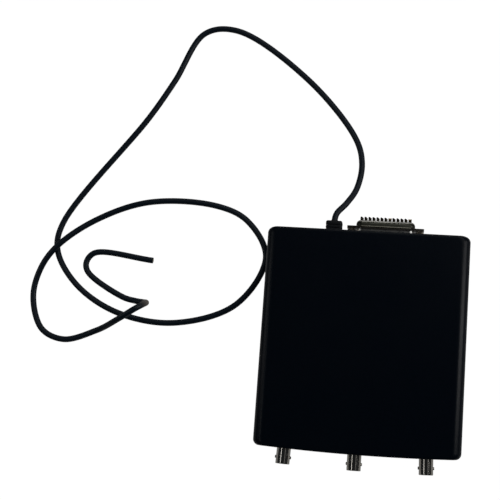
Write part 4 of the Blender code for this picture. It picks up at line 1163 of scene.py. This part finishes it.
def smooth_route(points, steps):
    """Points read from a smooth curve through the route's own points."""
    points = [Vector(point) for point in points]
    ends = [2 * points[0] - points[1], *points, 2 * points[-1] - points[-2]]
    smooth = []
    for before, start, end, after in zip(ends, ends[1:], ends[2:], ends[3:]):
        knots = [0.0]
        for first, second in ((before, start), (start, end), (end, after)):
            knots.append(knots[-1] + math.sqrt((second - first).length))
        span = knots[2] - knots[1]
        leave = (start - before) / knots[1] - (end - before) / knots[2] + (end - start) / span
        ahead = knots[3] - knots[1]
        arrive = (end - start) / span - (after - start) / ahead + (after - end) / (knots[3] - knots[2])
        for step in range(steps):
            t = step / steps
            smooth.append(
                start * (2 * t**3 - 3 * t**2 + 1)
                + leave * (span * (t**3 - 2 * t**2 + t))
                + end * (3 * t**2 - 2 * t**3)
                + arrive * (span * (t**3 - t**2))
            )
    return [*smooth, points[-1]]


resting = LEAD_DIAMETER / 2 + LEAD_GAP
lead_exit = (relief_x, relief_end + LEAD_START_GAP, relief_z)
route = [lead_exit] + [(x, y, resting + rise) for x, y, rise in LEAD_ROUTE]
lead_path = [Vector((x, y, max(z, resting))) for x, y, z in smooth_route(route, LEAD_STEPS)]
lead_curve = bpy.data.curves.new("pvc_lead", "CURVE")
lead_curve.dimensions = "3D"
lead_curve.bevel_depth = LEAD_DIAMETER / 2
lead_curve.bevel_resolution = LEAD_SIDES
lead_curve.use_fill_caps = True
spline = lead_curve.splines.new("POLY")
spline.points.add(len(lead_path) - 1)
for point, spot in zip(spline.points, lead_path):
    point.co = (*spot, 1)
spline.use_smooth = True
lead_curve.materials.append(lead_pvc)
lead = bpy.data.objects.new("pvc_lead", lead_curve)
bpy.context.scene.collection.objects.link(lead)
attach(lead, "case")
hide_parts("usb_lead")

CORE_RADIUS = 0.00048
CORE_OFFSET = 0.00075
CORE_BARE = 0.0004
CORE_BACK = 0.0010
CORE_EDGE = CORE_RADIUS / 6
STRAND_RADIUS = 0.00026
CORE_PALER = 1.3
CORE_LIFT = 0.02
CORE_COLOURS = {
    "red": (0.45, 0.02, 0.02),
    "green": (0.02, 0.22, 0.05),
    "white": (0.70, 0.69, 0.65),
    "black": (0.02, 0.02, 0.02),
}
copper = metal(
    "copper_strands",
    bright=(0.80, 0.40, 0.22),
    tarnish=(0.48, 0.22, 0.12),
    smooth=0.28,
    dull=0.48,
    stretch=(900.0, 5200.0, 5200.0),
    depth=0.00001,
)


def give(piece, finish, chosen):
    """Give the faces of a piece that a test picks out a finish of their own."""
    piece.data.materials.append(finish)
    slot = len(piece.data.materials) - 1
    for polygon in piece.data.polygons:
        if chosen(polygon):
            polygon.material_index = slot


def bare_strand(polygon):
    """Whether a face of an upright core is on the copper that stands out of its sleeve."""
    return polygon.center.z > CORE_BARE / 2 + SAME_POINT


lead_end = lead_path[-1]
run = (lead_end - lead_path[-2]).normalized()
end_on = Matrix.Translation(lead_end) @ Vector((0, 0, 1)).rotation_difference(run).to_matrix().to_4x4()
for index, (colour, shade) in enumerate(CORE_COLOURS.items()):
    turn = math.pi / 2 * index + math.pi / 4
    offset = Matrix.Translation((CORE_OFFSET * math.cos(turn), CORE_OFFSET * math.sin(turn), 0))
    corners = [
        (0, -CORE_BACK),
        (CORE_RADIUS, -CORE_BACK),
        (CORE_RADIUS, CORE_BARE / 2),
        (STRAND_RADIUS, CORE_BARE / 2),
        (STRAND_RADIUS, CORE_BARE),
        (0, CORE_BARE),
    ]
    core = lathed(corners, [0.0, 0.0, CORE_EDGE, 0.0, CORE_EDGE, 0.0], SMALL_SIDES // 2)
    pale = tuple(min(1.0, CORE_PALER * channel + CORE_LIFT) for channel in shade)
    sleeve = moulding(
        f"{colour}_core",
        deep=shade,
        pale=pale,
        polished=0.35,
        matt=0.5,
        grain=5200.0,
        depth=0.00001,
    )
    piece = place(f"lead_core_{colour}", core, sleeve, None)
    give(piece, copper, bare_strand)
    core.transform(end_on @ offset)


# End panels: thin black ABS mouldings that drop into slots behind the ends of the case. The front one
# is bowed with the case's edge, and the rear one is flat and cut out for the port and the lead.

panel_plastic = moulding(
    "panel_plastic",
    deep=(0.0060, 0.0062, 0.0068),
    pale=(0.0125, 0.0128, 0.0135),
    polished=0.40,
    matt=0.55,
    grain=1500.0,
    depth=0.00006,
    specular=0.4,
)
dress("front_panel", panel_plastic)
dress("rear_panel", panel_plastic)


# Upper half of the case: moulded in the same black ABS as the lower half, with a bare flat top. Four
# screws from below pull it down over the panels, by bosses that reach to the board.

upper_half = half_case(2 * case_middle - under_high.z, upper_high.z)
bosses = screw_rods(SCREW_WAY_RADIUS + BOSS_WALL, upper_low.z, upper_high.z - WALL / 2)
upper_half = carve(upper_half, together(bosses + panel_ribs(upper_high.z, 1)), "UNION")
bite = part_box("case_screw_1")[1].z + BOSS_GAP
upper_half = carve(upper_half, together(screw_rods(SCREW_WAY_RADIUS, upper_low.z - CUT_MARGIN, bite)))
place("upper_case_half", upper_half, case_plastic, "top_shell")


# Case screws: zinc-plated steel with slotted cheese heads, sunk in recesses under the case. They pass
# through the board and bite into the upper half's bosses.

SCREW_RADIUS = 0.00145
HEAD_RADIUS = 0.0028
HEAD_HEIGHT = 0.0018
SLOT_WIDTH = 0.0008
SLOT_DEPTH = 0.0010
HEAD_EDGE = 0.0003
SCREW_PITCH = 0.0009
SCREW_ROOT = 0.78 * SCREW_RADIUS
screw_steel = metal(
    "screw_steel",
    bright=(0.48, 0.48, 0.47),
    tarnish=(0.34, 0.32, 0.27),
    smooth=0.24,
    dull=0.42,
    stretch=(2600.0, 2600.0, 400.0),
    depth=0.00001,
    rub=(0.62, 0.61, 0.58),
)
for number in CASE_CORNERS:
    low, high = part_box(f"case_screw_{number}")
    under = low.z
    seat = under + HEAD_HEIGHT
    corners = [(0, high.z), (0, under), (HEAD_RADIUS, under), (HEAD_RADIUS, seat), (SCREW_RADIUS, seat)]
    radii = [0.0, 0.0, HEAD_EDGE, HEAD_EDGE / 3, 0.0]
    turns = int((high.z - SCREW_RADIUS - seat) / SCREW_PITCH)
    for turn in range(turns):
        crest = seat + SCREW_PITCH * (turn + 0.5)
        corners += [(SCREW_ROOT, crest), (SCREW_RADIUS, crest + SCREW_PITCH / 2)]
        radii += [0.0, 0.0]
    screw = lathed(corners, radii, SMALL_SIDES)
    screw = carve(screw, block((3 * HEAD_RADIUS, SLOT_WIDTH, 2 * SLOT_DEPTH), (0, 0, under)))
    spot = Matrix.Translation((*middle_of(f"case_screw_{number}"), 0))
    place(f"slotted_screw_{number}", moved(screw, spot), screw_steel, f"case_screw_{number}")


# Plug: a loose solder-cup plug without a hood, pushed onto the port. Two drawn steel shells clamp a black
# insulator between their flanges, and turned contacts run through it to slanted cups at the back, painted
# near black outside as shade and gold in their bores.

PIN_PITCH = 0.00277
PIN_ROWS = (13, 12)
ROW_SPACING = 0.00284
REAR_GROW = 0.0016
REAR_ROLL = 0.0030
REAR_FIT = 0.0003
BODY_ROOT = 0.0005
BODY_RIM = 0.0012
EDGE_ON = 0.5
FRONT_GROW = 0.00075
PIN_RADIUS = 0.0005
COLLAR_RADIUS = 0.0007
SHANK_RADIUS = 0.00085
CUP_RADIUS = 0.00115
CUP_BORE = 0.00080
CUP_DEPTH = 0.0028
CUP_SLANT = 0.65
CUP_LIP = 0.0003
CUP_TRIM = 0.0007
TURNED_CUPS = {7: -math.pi / 2, 12: -math.pi / 2}
CUP_EDGE = 0.00012
CUP_BELL = 0.0005
CUP_WALL_SHARE = 0.93
CUP_FLOOR = 0.00046
PIN_NOSE = 0.00045
COLLAR_LENGTH = 0.0006
WAY_MARGIN = 0.0010

yellowed_steel = metal(
    "yellowed_steel",
    bright=(0.29, 0.28, 0.23),
    tarnish=(0.21, 0.20, 0.155),
    smooth=0.11,
    dull=0.19,
    stretch=(150.0, 3800.0, 3800.0),
    depth=0.000004,
    rub=(0.44, 0.43, 0.37),
)
# Shaded and lit copies of the rear shell's steel: its body is painted dark as shade, and its rolled rim
# pale as a highlight.
painted_shade_steel = metal(
    "painted_shade_steel",
    bright=(0.070, 0.071, 0.058),
    tarnish=(0.048, 0.049, 0.038),
    smooth=0.30,
    dull=0.40,
    stretch=(150.0, 3800.0, 3800.0),
    depth=0.000004,
)
painted_highlight_rim = metal(
    "painted_highlight_rim",
    bright=(0.90, 0.88, 0.82),
    tarnish=(0.74, 0.72, 0.64),
    smooth=0.16,
    dull=0.26,
    stretch=(150.0, 3800.0, 3800.0),
    depth=0.000004,
)
# The cups' metal, painted near black outside as shade.
painted_shade_cups = metal(
    "painted_shade_cups",
    bright=(0.050, 0.043, 0.034),
    tarnish=(0.022, 0.019, 0.015),
    smooth=0.40,
    dull=0.58,
    stretch=(2600.0, 300.0, 2600.0),
    depth=0.00001,
)
# The flanges' cut edges: real cut sheet, painted near black as shade.
cut_edge_painted_shade = metal(
    "cut_edge_painted_shade",
    bright=(0.085, 0.080, 0.072),
    tarnish=(0.045, 0.040, 0.034),
    smooth=0.34,
    dull=0.55,
    stretch=(5200.0, 400.0, 5200.0),
    depth=0.000006,
)

front_low, front_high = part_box("plug_front_shell")
rear_low, rear_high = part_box("plug_rear_shell")
body_start = rear_low.y + FLANGE_THICKNESS + BODY_ROOT
body_end = rear_high.y - BODY_RIM


def sheared(polygon):
    """Whether a face is on the outer edge of a flange, where its sheet was cut."""
    across = abs(polygon.center.x - PORT_X)
    up = abs(polygon.center.z - PORT_Z)
    outermost = across > FLANGE_WIDTH / 2 - FLANGE_RADIUS or up > FLANGE_DEPTH / 2 - FLANGE_THICKNESS
    return outermost and abs(polygon.normal.y) < EDGE_ON


front_shell = drawn_shell(FRONT_GROW, front_high.y - FLANGE_THICKNESS, front_low.y)
piece = place("plug_front_drawn_shell", front_shell, shell_steel, "plug_front_shell", "plug")
# Painted shade on the flanges' cut edges.
give(piece, cut_edge_painted_shade, sheared)
rear_shell = drawn_shell(REAR_GROW, rear_low.y + FLANGE_THICKNESS, rear_high.y, REAR_ROLL)
piece = place("plug_rear_drawn_shell", rear_shell, yellowed_steel, "plug_rear_shell", "plug")
give(piece, cut_edge_painted_shade, sheared)
# Painted shade on the rear shell's body, and a painted highlight on its rolled rim.
give(piece, painted_shade_steel, lambda polygon: body_start < polygon.center.y < body_end)
give(piece, painted_highlight_rim, lambda polygon: polygon.center.y > body_end)
dress("plug_front_insulator", black_moulding)

insulator_low, insulator_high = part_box("plug_rear_insulator")
fit = REAR_GROW - SHELL_WALL - REAR_FIT
levels = [
    (fit, insulator_low.y),
    (fit, insulator_high.y - MOULDED_EDGE),
    (fit - MOULDED_EDGE, insulator_high.y),
]
insulator = skin([at_port(d_outline(grow), y) for grow, y in levels])
pin_places = []
ways = []
for row, count in enumerate(PIN_ROWS):
    for index in range(count):
        spot = (PIN_PITCH * (index - (count - 1) / 2), ROW_SPACING * (0.5 - row))
        pin_places.append((row, spot))
        hole = circle(SHANK_RADIUS + CUP_EDGE, *spot)
        ways.append(port_bar(hole, insulator_low.y - WAY_MARGIN, insulator_high.y + WAY_MARGIN))
insulator = carve(insulator, together(ways))
place("plug_rear_moulding", insulator, black_moulding, "plug_rear_insulator", "plug")


def plug_contact(front, back):
    """One contact along Z: a round pin, a collar, and a cup whose end is cut on the slant."""
    collar = insulator_low.y
    corners = [
        (0, back - CUP_DEPTH),
        (0, front),
        (PIN_RADIUS, front),
        (PIN_RADIUS, collar - COLLAR_LENGTH),
        (COLLAR_RADIUS, collar - COLLAR_LENGTH),
        (SHANK_RADIUS, collar),
        (SHANK_RADIUS, insulator_high.y),
        (CUP_RADIUS, insulator_high.y + CUP_BELL),
        (CUP_RADIUS, back),
        (CUP_BORE, back),
        (CUP_BORE, back - CUP_DEPTH),
    ]
    radii = [CUP_EDGE] * len(corners)
    radii[:4] = [0.0, 0.0, PIN_NOSE, 0.0]
    radii[-1] = CUP_FLOOR
    contact = lathed(corners, radii, SMALL_SIDES // 2)
    reach = 2 * CUP_RADIUS
    slant = [
        (-CUP_LIP, back),
        (reach, back - CUP_SLANT * (reach + CUP_LIP)),
        (reach, back + reach),
        (-CUP_LIP, back + reach),
    ]
    return carve(contact, skin([[(x, y, z) for x, z in slant] for y in (-reach, reach)]))


def in_a_cup(polygon):
    """Whether a face is in the bore or on the cut end of a cup, behind the insulator."""
    spot = Vector((polygon.center.x - PORT_X, polygon.center.z - PORT_Z))
    nearest = min((spot - Vector(pin)).length for _, pin in pin_places)
    return polygon.center.y > insulator_high.y and nearest < CUP_WALL_SHARE * CUP_RADIUS


for row, name in enumerate(("upper", "lower")):
    node = f"plug_contacts_{name}"
    low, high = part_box(node)
    contact = plug_contact(low.y, high.y - CUP_TRIM)
    copies = []
    for way, (which, (across, up)) in enumerate(pin_places):
        if which == row:
            turn = Matrix.Rotation(TURNED_CUPS.get(way, 0.0), 4, "Z")
            stand = Matrix.Translation((PORT_X + across, 0, PORT_Z + up)) @ TO_REAR @ turn
            copies.append(moved(contact.copy(), stand))
    piece = place(f"cup_contacts_{name}", together(copies), painted_shade_cups, node, "plug")
    give(piece, gold_plate, in_a_cup)


# Table: a plain white sweep, lit from within so that no shadow shows. It gives the instrument much less
# light than it shows, as the dark cards round a black product do in a studio.

FLOOR_HALF = 3.0
FLOOR_DROP = 0.0001
FLOOR_CELLS = 8
FLOOR_SHOWN = 1.0
FLOOR_GIVEN = 0.20
PAPER_SCALE = 40.0
PAPER_DARK = (0.060, 0.060, 0.060, 1)
PAPER_LIGHT = (0.066, 0.066, 0.066, 1)
floor_finish, tree, shader = plain_material("white_sweep")
where = add(tree, "TexCoord", {}).outputs["Object"]
paper = add(tree, "TexNoise", {"Vector": where, "Scale": PAPER_SCALE, "Detail": 3.0})
seen = add(tree, "LightPath", {}).outputs["Is Camera Ray"]
tree.links.new(blend(tree, paper.outputs["Fac"], PAPER_DARK, PAPER_LIGHT), shader.inputs["Base Color"])
tree.links.new(between(tree, seen, FLOOR_GIVEN, FLOOR_SHOWN), shader.inputs["Emission Strength"])
shader.inputs["Roughness"].default_value = 0.9
shader.inputs["Specular IOR Level"].default_value = 0.1
shader.inputs["Emission Color"].default_value = (1.0, 1.0, 1.0, 1)
shape = bmesh.new()
bmesh.ops.create_grid(shape, x_segments=FLOOR_CELLS, y_segments=FLOOR_CELLS, size=FLOOR_HALF)
floor_mesh = mesh_of(shape)
floor_mesh.materials.append(floor_finish)
floor = bpy.data.objects.new("floor", floor_mesh)
floor.location.z = -FLOOR_DROP
bpy.context.scene.collection.objects.link(floor)


# Studio light: a broad softbox above and behind the instrument and one at each side give the rounded edges
# their gloss, two high strips light the sockets, and a low strip lights the plug from behind. The room is
# nearly black, so that the black case keeps its depth.

MIDDLE_AIM = (0.0, 0.0, 0.02)
FRONT_AIM = (0.0, -0.10, 0.02)
ROOM_DARK = (0.014, 0.015, 0.016, 1)
ROOM_SEEN = (0.80, 0.80, 0.80, 1)


def softbox(name, at, size, power, aim=MIDDLE_AIM):
    """A rectangular lamp that faces the instrument."""
    lamp = bpy.data.lights.new(name, "AREA")
    lamp.shape = "RECTANGLE"
    lamp.size, lamp.size_y = size
    lamp.energy = power
    stand = bpy.data.objects.new(name, lamp)
    stand.location = at
    stand.rotation_euler = (Vector(aim) - Vector(at)).to_track_quat("-Z", "Y").to_euler()
    bpy.context.scene.collection.objects.link(stand)


softbox("rear_softbox", at=(0.25, 0.85, 1.15), size=(1.1, 0.7), power=2.4)
softbox("right_softbox", at=(0.99, 0.16, 0.75), size=(0.30, 0.9), power=3.0)
softbox("left_softbox", at=(-1.06, 0.16, 0.66), size=(0.25, 0.7), power=0.65)
softbox("left_strip", at=(-0.665, -0.10, 1.03), size=(0.5, 0.10), power=0.28, aim=FRONT_AIM)
softbox("right_strip", at=(0.60, -0.10, 1.03), size=(0.5, 0.16), power=0.035, aim=FRONT_AIM)
softbox("low_rear_strip", at=(0.0, 1.30, 0.30), size=(1.2, 0.15), power=0.75)
room = bpy.data.worlds.new("dark_room")
room.use_nodes = True
backdrop = room.node_tree.nodes["Background"]
seen = add(room.node_tree, "LightPath", {}).outputs["Is Camera Ray"]
shade = blend(room.node_tree, seen, ROOM_DARK, ROOM_SEEN)
room.node_tree.links.new(shade, backdrop.inputs["Color"])
bpy.context.scene.world = room
bpy.context.scene.view_settings.view_transform = "Standard"


# Camera: it hangs 0.8 m above the instrument's front end with a long lens, tipped back and turned a
# little, as the photograph was taken.

CAMERA_PLACE = (0.01742, -0.06706, 0.78828)
CAMERA_TURN = (9.718, 6.640, 4.305)
SENSOR_MM = 36.0
LENS_MM = 80.7
camera_data = bpy.data.cameras.new("camera")
camera_data.sensor_width = SENSOR_MM
camera_data.lens = LENS_MM
camera = bpy.data.objects.new("camera", camera_data)
camera.location = CAMERA_PLACE
camera.rotation_euler = [math.radians(angle) for angle in CAMERA_TURN]
bpy.context.scene.collection.objects.link(camera)
bpy.context.scene.camera = camera
